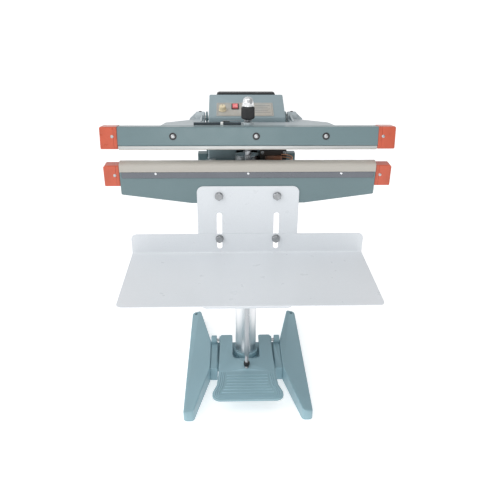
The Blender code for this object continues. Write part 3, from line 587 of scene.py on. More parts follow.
def make_hub():
    """The middle casting with ribs underneath, shoulders, collar with set screw and the pedal lugs."""
    low, high = span("base_hub")
    edge = high.x
    top = 0.030
    body = slab(oblong(-edge, -0.062, edge, 0.050, 0.002), low.z, top, edge=0.002, both=False)
    hollow = block((-0.084, -0.056, -0.001), (0.084, 0.044, top - 0.006), 0.006)
    ribs = [block((x - 0.003, -0.058, 0.001), (x + 0.003, 0.046, top - 0.004), 0.0005)
            for x in (-0.062, 0.062)]
    collar_profile = ((0.040, 0.0), (0.040, 0.043), (0.0392, 0.0452), (0.037, 0.046))
    collar = turned(collar_profile, (0, 0, 0))
    shoulders = [slab([(sign * 0.088, -0.1035, 0.004), (sign * edge, -0.1035, 0.001),
                       (sign * edge, 0.0315, 0.001), (sign * 0.088, 0.0315, 0.004)],
                      0.0, 0.045, edge=0.002, both=False)
                 for _, sign in SIDES]
    lugs = [slab(oblong(0.021, 0.020, 0.049, 0.064, 0.001, 0.012),
                 *sorted((sign * 0.092, sign * edge)), axis="X", edge=0.0015) for _, sign in SIDES]
    solid = combined([cut(body, [hollow]), *ribs, *shoulders, *lugs, collar])
    bore = turned(((0.0323, 0.012), (0.0323, 0.05)), (0, 0, 0))
    pins = turned(((BOLT_BORE, -0.115), (BOLT_BORE, 0.115)), (0.035, 0.050, 0), "X", count=32)
    piece("base_casting", cut(solid, [bore, pins]), CAST_BLUE, "stand", replaces=["base_hub"])
    screw = turned(((0.004, 0.0), (0.004, 0.006), (0.0033, 0.0068), (0.002, 0.0068, "hex"),
                    (0.002, 0.004, "hex")),
                   (0.0, 0.036, 0.040), "Y", count=36)
    piece("collar_set_screw", screw, BLACK, "stand")


def make_column():
    low, high = span("column")
    outer, inner = high.x, high.x - 0.002
    profile = ((inner, 0.0), (outer, 0.0), (outer, high.z - low.z), (inner, high.z - low.z))
    piece("column_tube", turned(profile, (0, 0, low.z), closed=True, count=96), COLUMN, "stand",
          replaces=["column"])
    low, high = span("column_cap")
    crown = [(0.0297, 0.0), (0.0297, 0.0083), (0.0316, 0.0083), (0.032, 0.0088), (0.032, 0.0097),
             (0.0314, 0.0104)]
    for step in range(1, 9):
        turn = math.pi / 2 * step / 9
        crown.append((0.0314 * math.cos(turn), 0.0104 + (high.z - low.z - 0.0104) * math.sin(turn)))
    piece("column_dome", turned(crown, (0, 0, low.z)), CHROME, "stand", replaces=["column_cap"])


def pedal_path(inset):
    """A line round the pedal's sides and front, a given distance inside its edge."""
    outline = rounded(mirrored(PEDAL_HALF[1:]), 10, inset)
    return [point for point in outline if point.y < 0.012]


def make_pedal():
    """The cast treadle with raised anti-slip ribs round its sides and across its toe."""
    _, high = span("pedal")
    thick = 0.008
    outline = mirrored(PEDAL_HALF) + [(-PEDAL_NOTCH[0], *PEDAL_NOTCH[1:]), PEDAL_NOTCH]
    plate = slab(outline, high.z - thick, high.z, edge=0.0022)
    pin_y, pin_z = JOINTS["pedal_hinge"]["pos_m"][1:]
    bosses = [turned(((0.0112, 0.0), (0.012, 0.0008), (0.012, 0.0232), (0.0112, 0.024)),
                     (pin_y, pin_z, min(sign * 0.060, sign * 0.084)), "X") for _, sign in SIDES]
    stiffeners = [slab([(-0.235, 0.046, 0.002), (-0.085, 0.044, 0.002), (-0.085, 0.056, 0.002),
                        (-0.235, 0.056, 0.002)], *sorted((sign * 0.045, sign * 0.050)), axis="X", edge=0.001)
                  for _, sign in SIDES]
    bore = turned(((0.0054, -0.091), (0.0054, 0.091)), (pin_y, pin_z, 0), "X", count=48)
    hole = slab(oblong(-0.0065, -0.127, 0.0065, -0.106, 0.0065), 0.04, 0.08, edge=0.0)
    solid = cut(combined([plate, *bosses, *stiffeners]), [bore, hole])
    piece("treadle", solid, CAST_BLUE, "pedal", replaces=["pedal"])
    ribs = []
    for inset in (0.007, 0.0125, 0.018):
        path = [Vector((point.x, point.y, high.z)) for point in pedal_path(inset)]
        ribs.append(swept(path, 0.0019, 10, 0.75))
    for row in range(7):
        y = -0.158 - 0.0125 * row
        half = 0.060 + 0.014 * max(0.0, (row - 3) / 3)
        ribs.append(swept([Vector((-half, y, high.z)), Vector((-half / 3, y, high.z)),
                           Vector((half / 3, y, high.z)), Vector((half, y, high.z))], 0.0019, 10, 0.75))
    piece("treadle_ribs", many(ribs), CAST_BLUE, "pedal", sharp=60)


# ---------------------------------------------------------------- pull rod

def thread(radius, depth, pitch, low, high, centre, local_axis="Z"):
    """A bar with rolled thread grooves, drawn as fine rings."""
    profile = []
    height = low
    while height < high:
        profile += [(radius - depth, height), (radius, height + pitch / 2)]
        height += pitch
    profile.append((radius - depth, high))
    return turned(profile, centre, local_axis, count=32)


def make_rod():
    """The pull rod with its threaded ends, nuts, knurled knob and dome nut."""
    low, high = span("pull_rod", LEAN)
    x, y = ROD_POINT.x, ROD_POINT.y
    shoulder, neck = low.z + 0.0693, high.z - 0.0890
    body = turned(((0.0056, shoulder - 0.001), (0.007, shoulder), (0.007, neck), (0.0056, neck + 0.0015)),
                  (x, y, 0), count=48)
    lower = thread(0.005, 0.0006, 0.0015, low.z, shoulder + 0.002, (x, y, 0))
    upper = thread(0.006, 0.0006, 0.00175, neck - 0.002, high.z, (x, y, 0))
    piece("pull_rod_bar", combined([body, lower, upper]), ROD_STEEL, "pull_rod", LEAN, ["pull_rod"],
          30)

    low, high = span("rod_ball_nut", LEAN)
    profile = [(0.0063, 0.0), (0.0075, 0.0004)]
    for step in range(1, 12):
        turn = math.pi * step / 12
        profile.append((0.0063 + 0.0030 * math.sin(turn) ** 0.7, (high.z - low.z) * (1 - math.cos(turn)) / 2))
    profile.append((0.0063, high.z - low.z))
    piece("rod_ball", turned(profile, (x, y, low.z), closed=True, count=48), BLACK, "pull_rod", LEAN,
          ["rod_ball_nut"])

    knob_low, knob_high = span("pressure_knob", LEAN)
    height = knob_high.z - knob_low.z
    profile = [(0.0063, 0.0), (0.0140, 0.0), (0.0152, 0.0008), (0.0166, 0.0022)]
    profile += [(0.0170, 0.0030 + (height - 0.0065) * k / 12) for k in range(13)]
    profile += [(0.0164, height - 0.0022), (0.0150, height - 0.0008), (0.0138, height), (0.0063, height)]

    def knurl(angle, level):
        if 0.0024 < level < height - 0.0028:
            return 1.0 - 0.045 * (0.5 + 0.5 * math.cos(angle * 36)) ** 0.6
        return 0.985
    piece("pressure_knob_grip", turned(profile, (x, y, knob_low.z), closed=True, count=288, shape=knurl),
          BLACK, "pressure_knob", LEAN, ["pressure_knob"], 50)

    low, high = span("dome_nut", LEAN)
    foot = [(0.0156, 0.0), (0.0160, 0.0006), (0.0160, 0.0022), (0.0156, 0.0028), (0.0138, 0.0028, "hex"),
            (0.0138, 0.0102, "hex"), (0.0132, 0.0112)]
    rise = high.z - low.z - 0.0112
    for step in range(1, 13):
        turn = math.pi / 2 * step / 12.6
        foot.append((0.0130 * math.cos(turn) ** 0.85, 0.0112 + rise * math.sin(turn)))
    piece("dome_nut_body", turned(foot, (x, y, low.z), count=72), CHROME, "pull_rod", LEAN, ["dome_nut"])


def helix(radius, wire, length, turns, centre, steps=28, sides=10):
    """A compression spring with closed, flattened ends."""
    path = []
    total = int(turns * steps)
    for k in range(total + 1):
        share = k / total
        eased = min(max((share * turns - 1.0) / (turns - 2.0), 0.0), 1.0)
        climb = 0.9 * 2 * wire * (min(share * turns, 1.0) + max(share * turns - turns + 1.0, 0.0))
        angle = 2 * math.pi * k / steps
        rise = climb + (length - 2 * wire - 3.6 * wire) * eased
        path.append(Vector((centre[0] + radius * math.cos(angle), centre[1] + radius * math.sin(angle),
                            centre[2] + wire + rise)))
    return swept(path, wire, sides)


def make_return_spring():
    low, high = span("return_spring", LEAN)
    x, y = ROD_POINT.x, ROD_POINT.y
    spring = helix(0.0106, 0.0013, high.z - low.z, 11, (x, y, low.z))
    item = piece("return_coil", spring, SPRING, "stand", LEAN, ["return_spring"], 60)
    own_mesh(item)


# ---------------------------------------------------------------- small hardware

def hex_head(across, thick, washer, centre, axis, facing, shank=0.005, length=0.012):
    """A hexagon bolt with chamfered head, washer and threaded shank."""
    half = across / 2
    profile = [
        (shank, -length), (shank, 0.0), (washer - 0.0004, 0.0), (washer, 0.0004), (washer, 0.0012),
        (washer - 0.0004, 0.0016), (half * 1.0, 0.0016, "hex"), (half, thick * 0.80, "hex"),
        (half * 0.985, thick * 0.9), (half * 0.90, thick), (half * 0.55, thick), (half * 0.5, thick - 0.0004),
    ]
    return turned([(station[0], station[1] * facing, *station[2:]) for station in profile], centre, axis,
                  count=48)


def slotted_head(radius, height, centre, axis, facing, angle=0.5, cross=False):
    """A domed screw head with one slot, or two crossing ones, really cut in."""
    profile = [(radius * 0.35, -0.0003 * facing)]
    for step in range(7):
        turn = math.pi / 2 * step / 6.5
        profile.append((radius * math.cos(turn), height * math.sin(turn) * facing))
    head = turned(profile, centre, axis, count=40)
    blades = []
    for extra in ([0.0, math.pi / 2] if cross else [0.0]):
        blade = block((-radius * (0.6 if cross else 1.1), -radius * 0.13, 0.0),
                      (radius * (0.6 if cross else 1.1), radius * 0.13, height * 2), 0.0001, 0.0)
        bmesh.ops.rotate(blade, verts=blade.verts, matrix=Matrix.Rotation(angle + extra, 3, "Z"))
        for vertex in blade.verts:
            a, b, h = vertex.co
            vertex.co = place(centre[0] + a, centre[1] + b, centre[2] + facing * (h + height * 0.45), axis)
        bmesh.ops.recalc_face_normals(blade, faces=blade.faces)
        blades.append(blade)
    return cut(head, blades)


# ---------------------------------------------------------------- lower jaw

def bolt_hole(middle, front, rear):
    """The solid to cut for a bolt that runs from front to back."""
    ends = ((BOLT_BORE, front - 0.01), (BOLT_BORE, rear + 0.01))
    return turned(ends, (middle.x, middle.z, 0), "Y", count=32)


def make_lower_jaw():
    low, high = span("lower_beam")
    section = oblong(low.y, low.z, high.y, high.z, 0.003)
    rings = []
    for shift, x in ((0, low.x), (0, high.x), (0.002, high.x), (0.002, low.x)):
        rings.append([place(p.x, p.y, x, "X") for p in rounded(section, 6, shift)])
    piece("lower_beam_tube", lofted(rings, closed=True), GREY_BLUE, "stand", replaces=["lower_beam"])

    low, high = span("lower_apron")
    knee, step_up = 0.146, 0.0245
    corners = [(high.x, high.z, 0.001), (high.x, low.z + step_up, 0.004), (knee, low.z, 0.030),
               (-knee, low.z, 0.030), (low.x, low.z + step_up, 0.004), (low.x, high.z, 0.001)]
    plate = slab(corners, low.y, high.y, "Y", 0.0006)
    holes = []
    for side in ("left", "right"):
        bolt_low, bolt_high = span(f"bracket_bolt_{side}")
        middle = (bolt_low + bolt_high) / 2
        holes.append(bolt_hole(middle, low.y, high.y))
    piece("apron_plate", cut(plate, holes), GREY_BLUE, "stand", replaces=["lower_apron"])

    for side, sign in SIDES:
        make_lower_cap(side, sign)

    make_release_cover()
    low, high = span("front_strip")
    strip = block(low, high, 0.0006, 0.0005, "X")
    sockets = []
    screws = []
    for x in (-0.234, 0.0, 0.237):
        middle = (x, high.z - 0.0042, low.y)
        sockets.append(turned(((0.0034, -0.001), (0.0034, 0.0006)), middle, "Y", count=32))
        screws.append(slotted_head(0.0033, 0.0012, (x, middle[1], low.y + 0.0005), "Y", -1, 0.6, cross=True))
    piece("front_strip_bar", cut(strip, sockets), STRIP, "stand", replaces=["front_strip"])
    piece("front_strip_screws", many(screws), CHROME, "stand")
    low, high = span("rear_strip")
    piece("rear_strip_bar", block(low, high, 0.0005, 0.0004, "X"), STRIP, "stand", replaces=["rear_strip"])
    low, high = span("heating_ribbon")
    clamps = []
    for sign in (-1, 1):
        end = sign * high.x
        clamps.append(block((min(end, end + sign * 0.010), low.y - 0.002, high.z + 0.0001),
                            (max(end, end + sign * 0.010), high.y + 0.002, high.z + 0.0012), 0.001, 0.0003))
    piece("ribbon_clamps", many(clamps), ZINC, "stand")


def make_lower_cap(side, sign):
    """A moulded end cap: chamfered outer shoulder, a moulding line and a screw."""
    low, high = span(f"lower_cap_{side}")
    near, far = sign * (0.325 + TOUCH), (low.x if sign < 0 else high.x)
    front, rear = low.y, high.y
    shoulder = (far - sign * 0.004, high.z - 0.004)
    corners = [(near, low.z, 0.0012), (far, low.z, 0.003), (far, shoulder[1], 0.004),
               (shoulder[0], high.z, 0.004), (near, high.z, 0.0012)]
    solid = slab(corners, front, rear, "Y", 0.0022)
    groove = slab(oblong(near + sign * 0.008, low.z - 0.01, near + sign * 0.0092, high.z + 0.01, 0.0),
                  front - 0.01, front + 0.0009, "Y", 0.0)
    piece(f"lower_end_cap_{side}", cut(solid, [groove]), ORANGE, "stand", replaces=[f"lower_cap_{side}"])
    middle = (near + sign * 0.012, low.z + 0.029, front + 0.0004)
    piece(f"lower_cap_screw_{side}", slotted_head(0.0040, 0.0016, middle, "Y", -1, 0.9, cross=True), ZINC,
          "stand")


def make_release_cover():
    """The coated glass cloth stretched over the element: crowned, with slight waves along its length."""
    low, high = span("release_cover")
    thick = 0.0006
    crown_y = -0.088
    front_hem, front_foot, rear_foot = low.z + 0.0018, low.z + 0.0133, low.z + 0.0128
    outer = [(low.y, front_hem + (front_foot - front_hem) * step / 4) for step in range(5)]
    for step in range(1, 11):
        turn = math.pi / 2 * step / 10
        y = crown_y - (crown_y - low.y) * math.cos(turn)
        outer.append((y, front_foot + (high.z - front_foot) * math.sin(turn) ** 0.75))
    for step in range(1, 11):
        turn = math.pi / 2 * step / 10
        y = crown_y + (high.y - crown_y) * math.sin(turn)
        outer.append((y, rear_foot + (high.z - rear_foot) * math.cos(turn) ** 0.75))
    for step in range(1, 4):
        outer.append((high.y, rear_foot - 0.012 * step / 3))
    count = len(outer)
    rings = []
    stations = 160
    for k in range(stations + 1):
        x = low.x + (high.x - low.x) * k / stations
        wave = 0.00025 * (math.sin(x * 61.0) + 0.6 * math.sin(x * 143.0 + 1.3)
                          + 0.4 * math.sin(x * 287.0 + 0.4))
        ring = []
        for n, (y, z) in enumerate(outer):
            crest = math.sin(math.pi * n / (count - 1)) ** 2
            sag = min(wave, 0.0) * crest
            ring.append(Vector((x, y, z + sag)))
        for n in range(count - 1, -1, -1):
            y, z = outer[n]
            before, after = outer[max(n - 1, 0)], outer[min(n + 1, count - 1)]
            along = Vector((after[0] - before[0], after[1] - before[1])).normalized()
            crest = math.sin(math.pi * n / (count - 1)) ** 2
            ring.append(Vector((x, y + along.y * thick, z - along.x * thick + min(wave, 0.0) * crest)))
        rings.append(ring)
    piece("release_cloth_cover", lofted(rings), CLOTH, "stand", replaces=["release_cover"],
          sharp=50)


# ---------------------------------------------------------------- bracket and table

SLOT_LOW = 0.330     # the bracket's two long slots
SLOT_HIGH = 0.559
SLOT_WIDTH = 0.014


def slot_solid(x, z0, z1, width, y0, y1):
    half = width / 2 - 1e-5
    return slab(oblong(x - width / 2, z0, x + width / 2, z1, half), y0, y1, "Y", 0.0, 10)


def make_bracket():
    low, high = span("table_bracket")
    plate = slab(oblong(low.x, low.z, high.x, high.z, 0.017), low.y, high.y, "Y", 0.0007, 10)
    openings = []
    for side in ("left", "right"):
        bolt_low, bolt_high = span(f"bracket_bolt_{side}")
        middle = (bolt_low + bolt_high) / 2
        openings.append(slot_solid(middle.x, SLOT_LOW, SLOT_HIGH, SLOT_WIDTH, low.y - 0.01, high.y + 0.01))
        openings.append(bolt_hole(middle, low.y, high.y))
        head = hex_head(0.019, 0.0081, 0.0108, (middle.x, middle.z, low.y - TOUCH), "Y", -1)
        piece(f"bracket_screw_{side}", head, BOLT, "stand", replaces=[f"bracket_bolt_{side}"])
    piece("bracket_plate", cut(plate, openings), WHITE, "stand", replaces=["table_bracket"])


def make_table():
    """A shelf and its flange folded from one sheet, with a rounded bend and softened corners."""
    low, high = span("table")
    sheet, bend, corner, front_corner = 0.002, 0.004, 0.015, 0.014
    half = high.x
    path = []
    for step in range(9):
        turn = math.pi / 2 * step / 8
        path.append((corner * (1 - math.cos(turn)), corner - corner * math.sin(turn)))
    rings = []

    def ring(width, y, z, normal):
        back = Vector((0.0, normal.x, normal.y)) * sheet
        left, right = Vector((-width, y, z)), Vector((width, y, z))
        return [left, right, right + back, left + back]

    face_y = high.y - sheet
    for drop, pull in path:
        rings.append(ring(half - pull, face_y, high.z - drop, Vector((1.0, 0.0))))
    top = low.z + sheet
    for step in range(9):
        turn = math.pi / 2 * step / 8
        y = face_y - bend + bend * math.cos(turn)
        z = top + bend - bend * math.sin(turn)
        rings.append(ring(half, y, z, Vector((math.cos(turn), -math.sin(turn)))))
    for step in range(9):
        turn = math.pi / 2 * step / 8
        run = front_corner * (1 - math.sin(turn))
        pull = front_corner * (1 - math.cos(turn))
        rings.append(ring(half - pull, low.y + run, top, Vector((0.0, -1.0))))
    solid = lofted(rings)
    slots = []
    for side in ("left", "right"):
        bolt_low, bolt_high = span(f"table_bolt_{side}")
        middle = (bolt_low + bolt_high) / 2
        slots.append(slot_solid(middle.x, 0.455, 0.492, 0.014, face_y - 0.01, high.y + 0.01))
        head = hex_head(0.019, 0.0086, 0.0108, (middle.x, middle.z, face_y - TOUCH), "Y", -1, length=0.014)
        piece(f"table_screw_{side}", head, BOLT, "table", replaces=[f"table_bolt_{side}"])
    item = piece("table_sheet", cut(solid, slots), WHITE, "table", replaces=["table"])
    soften = item.modifiers.new("soften", "BEVEL")
    soften.width = 0.0005
    soften.segments = 2
    soften.limit_method = "ANGLE"
    soften.angle_limit = math.radians(50)


# ---------------------------------------------------------------- head and control box

PLATFORM_THICK = 0.008
CLAMP_DROP = 0.044


def make_head_frame():
    """The platform with its column clamp, beam flanges, riser, tabs and shaft cheeks, all softened."""
    low, high = span("head_frame")
    _, shell_high = span("box_shell")
    shaft_y, shaft_z = JAW_PIVOT.y, JAW_PIVOT.z
    bottom = low.z + CLAMP_DROP
    top = bottom + PLATFORM_THICK
    edge = 0.112
    front, rear = low.y, shell_high.y
    solids = [
        block((-edge, front, bottom), (edge, rear, top), 0.004, 0.0012),
        turned(((0.0405, 0.0), (0.042, 0.0015), (0.042, CLAMP_DROP + 0.001)), (0, 0, low.z)),
        block((-edge, -0.036, top - 0.001), (-0.036, 0.012, top + 0.018), 0.004, 0.0015),
    ]
    for _, sign in SIDES:
        x0, x1 = sorted((sign * 0.017, sign * edge))
        solids.append(block((x0, front, bottom), (x1, front + 0.004, top + 0.016), 0.0008, 0.0008))
        x0, x1 = sorted((sign * 0.107, sign * high.x))
        solids.append(block((x0, 0.034, bottom), (x1, 0.060, top + 0.026), 0.003, 0.0012))
        cheek = [(0.086, bottom, 0.001), (rear, bottom, 0.001), (high.y, shaft_z, 0.003),
                 (high.y, high.z, 0.017), (0.097, high.z, 0.017)]
        solids.append(slab(cheek, *sorted((sign * 0.107, sign * edge)), axis="X", edge=0.0008))
        ear = sorted((sign * 0.030, sign * 0.052))
        solids.append(block((ear[0], -0.008, low.z + 0.008), (ear[1], 0.008, low.z + 0.036), 0.003, 0.001))
    tools = [
        turned(((0.0323, 0.59), (0.0323, 0.655)), (0, 0, 0), count=96),
        slab(oblong(-0.0085, -0.070, 0.0085, -0.051, 0.0084), 0.63, 0.655, edge=0.0),
        turned(((0.0073, -0.14), (0.0073, 0.14)), (shaft_y, shaft_z, 0), "X", count=48),
    ]
    piece("head_platform", cut(combined(solids), tools), GREY_BLUE, "stand", replaces=["head_frame"])
    bolts = [hex_head(0.013, 0.006, 0.0072, (sign * 0.043, low.z + 0.022, -0.008 - TOUCH), "Y", -1,
                      shank=0.003, length=0.0002) for _, sign in SIDES]
    piece("clamp_bolts", many(bolts), ZINC, "stand")
    low, high = span("riser_bolt")
    middle = (low + high) / 2
    piece("riser_hex_bolt", hex_head(0.017, 0.0086, 0.0100, (middle.x, middle.y, low.z + 0.0001), "Z", 1,
                                     length=0.0001), ZINC, "stand", replaces=["riser_bolt"])
    low, high = span("pivot_shaft")
    profile = [(0.0062, 0.0), (0.007, 0.0008), (0.007, 0.0050), (0.0062, 0.0054), (0.0062, 0.0066),
               (0.007, 0.0070)]
    length = high.x - low.x
    profile += [(radius, length - height) for radius, height in reversed(profile)]
    piece("hinge_shaft", turned(profile, axis_centre(low, high, "X"), "X", count=48), ZINC, "stand",
          replaces=["pivot_shaft"])


def lid_height(y, shell_low, front_top):
    """Height of the sloping lid at a distance back."""
    return front_top + (y - shell_low.y) * math.tan(SLOPE)


def leaning_shell(low, high, half_top, front_top, inset=0.0, floor=0.0, edge=0.003):
    """The box's outside or inside: sides lean in towards the lid, whose edges are rounded."""
    stations = [(0.0, None)] + [(edge * (1 - math.cos(t)), edge * (1 - math.sin(t)))
                                for t in (math.radians(a) for a in (0, 22.5, 45, 67.5, 90))]
    rings = []
    for shift, drop in stations:
        half = high.x if drop is None else half_top
        corners = oblong(-half, low.y, half, high.y, 0.004)
        ring = []
        for point in rounded(corners, 6, shift + inset):
            z = low.z + floor if drop is None else lid_height(point.y, low, front_top) - drop - inset
            ring.append(Vector((point.x, point.y, z)))
        rings.append(ring)
    return lofted(rings)


def make_control_box():
    """The folded housing with vents and screws, its louvred cover, and the gland on the back."""
    low, high = span("box_shell")
    rise = (high.y - low.y) * math.tan(SLOPE)
    front_top = high.z - rise
    outside = leaning_shell(low, high, 0.102, front_top)
    inside = leaning_shell(low, high, 0.102, front_top, 0.002, -0.01)
    tools = [inside, turned(((0.0073, -0.12), (0.0073, 0.12)), (JAW_PIVOT.y, JAW_PIVOT.z, 0), "X", count=48),
             turned(((0.035, 0.64), (0.035, 0.692)), (0, 0, 0), count=64),
             turned(((0.008, high.y - 0.005), (0.008, high.y + 0.005)), (-0.060, 0.672, 0), "Y", count=32)]
    for row in range(6):
        y = 0.036 + 0.008 * row
        tools.append(slab(oblong(y - 0.0015, 0.690, y + 0.0015, 0.725, 0.00149), -0.13, 0.13, "X", 0.0))
    for point, wide, deep in ((LID_POINT, 0.009, 0.009), (ROCKER_POINT, 0.017, 0.025)):
        centre = LID.inverted() @ point
        reach = Vector((wide / 2, deep / 2, 0.0))
        opening = block(centre - reach - Vector((0, 0, 0.012)), centre + reach + Vector((0, 0, 0.006)),
                        0.0005, 0.0)
        bmesh.ops.transform(opening, matrix=LID, verts=opening.verts)
        tools.append(opening)
    piece("housing", cut(outside, tools), BOX_BLUE, "stand", replaces=["box_shell"])
    screws = []
    for _, sign in SIDES:
        for y, z in ((0.030, 0.664), (0.118, 0.664), (0.030, 0.760)):
            share = (z - low.z) / (front_top - low.z)
            x = sign * (high.x + (0.102 - high.x) * min(share, 1.0))
            screws.append(slotted_head(0.0034, 0.0018, (y, z, x), "X", sign, 0.4, cross=True))
    piece("housing_screws", many(screws), ZINC, "stand")

    low, high = span("rear_cover")
    corners = oblong(low.x, low.z, high.x, high.z, 0.001, 0.008)
    shell = slab(corners, low.y, high.y, "Y", 0.0025)
    pocket = lofted([[place(p.x, p.y, y, "Y") for p in rounded(corners, 8, 0.0025)]
                     for y in (low.y - 0.001, high.y - 0.0025)])
    slots = [slab(oblong(-0.050, z, 0.050, z + 0.005, 0.0024),
                  high.y - 0.008, high.y + 0.01, "Y", 0.0) for z in (0.730 + 0.012 * k for k in range(6))]
    piece("back_cover", cut(shell, [pocket, *slots]), BLACK, "stand", replaces=["rear_cover"])
    screws = [slotted_head(0.0040, 0.0018, (x, z, high.y), "Y", 1, 0.7, cross=True)
              for x in (low.x + 0.012, high.x - 0.012) for z in (low.z + 0.012, high.z - 0.016)]
    piece("back_cover_screws", many(screws), ZINC, "stand")

    low, high = span("cable_gland")
    x, z, start = axis_centre(low, high, "Y")
    profile = [(0.0076, 0.0), (0.0076, 0.006), (0.0105, 0.006), (0.0105, 0.010), (0.0092, 0.010, "hex"),
               (0.0092, 0.0152, "hex"), (0.0088, 0.0165), (0.0078, 0.0195), (0.0062, 0.0215), (0.0040, 0.022),
               (0.0038, 0.020)]
    piece("gland_body", turned(profile, (x, z, start), "Y", count=72), BLACK, "stand",
          replaces=["cable_gland"])


def make_panel():
    """The label film with its printed border and dial, the timer knob, and the lit rocker in its bezel."""
    low, high = span("control_panel", LID)
    knob = LID.inverted() @ LID_POINT
    switch = LID.inverted() @ ROCKER_POINT
    bezel_low, bezel_high = span("switch_bezel", LID)
    plate = slab(oblong(low.x, low.y, high.x, high.y, 0.003), low.z, high.z, edge=0.0003)
    shaft = turned(((0.004, low.z - 0.002), (0.004, high.z + 0.002)), (knob.x, knob.y, 0), count=32)
    window_half = Vector(((bezel_high.x - bezel_low.x) / 2 - 0.0012,
                          (bezel_high.y - bezel_low.y) / 2 - 0.0012))
    window = block((switch.x - window_half.x, switch.y - window_half.y, low.z - 0.002),
                   (switch.x + window_half.x, switch.y + window_half.y, high.z + 0.002), 0.0008, 0.0)
    piece("label_plate", cut(plate, [shaft, window]), LABEL, "stand", LID, ["control_panel"])

    prints = []
    line = 0.0005

    def frame_line(x0, y0, x1, y1, width=line, lift=0.00012):
        outer = oblong(x0, y0, x1, y1, 0.002)
        rings = []
        for shift, z in ((0, high.z), (0, high.z + lift), (width, high.z + lift), (width, high.z)):
            rings.append([Vector((p.x, p.y, z)) for p in rounded(outer, 5, shift)])
        return lofted(rings, closed=True)

    prints.append(frame_line(low.x + 0.003, low.y + 0.003, high.x - 0.003, high.y - 0.003))
    for step in range(11):
        turn = math.radians(225 - 27 * step)
        start, stop = (0.0116, 0.0134) if step % 5 else (0.0112, 0.0144)
        direction = Vector((math.cos(turn), math.sin(turn), 0.0))
        middle = Vector((knob.x, knob.y, high.z + 0.00008))
        prints.append(swept([middle + direction * start, middle + direction * stop], 0.0004, 8, 0.3))
    for row in range(5):
        y = high.y - 0.016 - 0.0085 * row
        x0 = 0.022
        x1 = high.x - 0.008 - 0.006 * (row % 2)
        prints.append(block((x0, y, high.z), (x1, y + 0.0011, high.z + 0.00012), 0.0003, 0.0))
    piece("label_print", many(prints), PRINT, "stand", LID)

    low_b, high_b = bezel_low, bezel_high
    outer = oblong(low_b.x, low_b.y, high_b.x, high_b.y, 0.002)
    wall = 0.0023
    rings = []
    for shift, z in ((0.0015, low_b.z), (0.0015, high_b.z - 0.0018), (0.0, high_b.z - 0.0018),
                     (0.0, high_b.z - 0.0009),
                     (0.0003, high_b.z - 0.0002), (0.0009, high_b.z), (wall - 0.0004, high_b.z),
                     (wall, high_b.z - 0.0005), (wall, low_b.z)):
        rings.append([Vector((p.x, p.y, z)) for p in rounded(outer, 5, shift)])
    piece("rocker_bezel", lofted(rings, closed=True), BLACK, "stand", LID, ["switch_bezel"])

    low_r, high_r = span("power_rocker", ROCKER)
    profile = []
    for step in range(13):
        share = step / 12
        y = low_r.y + (high_r.y - low_r.y) * share
        dish = 4 * (share - 0.5) ** 2
        profile.append((y, high_r.z - 0.0016 * (1 - dish) - 0.0003))
    outline = [(low_r.y + 0.0002, low_r.z)] + profile + [(high_r.y - 0.0002, low_r.z)]
    rings = []
    for inset, x in ((0.0005, low_r.x), (0.0, low_r.x + 0.0005), (0.0, high_r.x - 0.0005),
                     (0.0005, high_r.x)):
        rings.append([Vector((x, y, z - (inset if z > low_r.z else 0))) for y, z in outline])
    piece("rocker_cap", lofted(rings), ROCKER_RED, "power_rocker", ROCKER, ["power_rocker"])

    low_k, high_k = span("timer_knob", LID)
    skirt = (high_k.x - low_k.x) / 2
    rise = LID.inverted() @ LID_POINT
    base = rise.z + 0.002
    top = high_k.z
    profile = [(0.003, low_k.z), (0.003, base), (skirt - 0.0004, base), (skirt, base + 0.0004),
               (skirt, base + 0.0012), (skirt - 0.0006, base + 0.0018), (skirt - 0.0014, base + 0.0024),
               (skirt - 0.0018, top - 0.0022), (skirt - 0.0023, top - 0.0008), (skirt - 0.0032, top)]

    def flutes(angle, level):
        if base + 0.0026 < level < top - 0.0010:
            return 1.0 - 0.05 * max(0.0, math.cos(angle * 18)) ** 2
        return 1.0
    body = turned([(r, z - base) for r, z in profile], (rise.x, rise.y, base), count=180, shape=flutes)
    pointer = block((rise.x - 0.0006, rise.y + 0.001, top - 0.0004), (rise.x + 0.0006, rise.y + skirt - 0.004,
                                                                      top + 0.0001), 0.0003, 0.0)
    piece("timer_knob_cap", body, CREAM, "timer_knob", LID, ["timer_knob"])
    piece("timer_knob_pointer", pointer, PRINT, "timer_knob", LID)


# ---------------------------------------------------------------- upper jaw

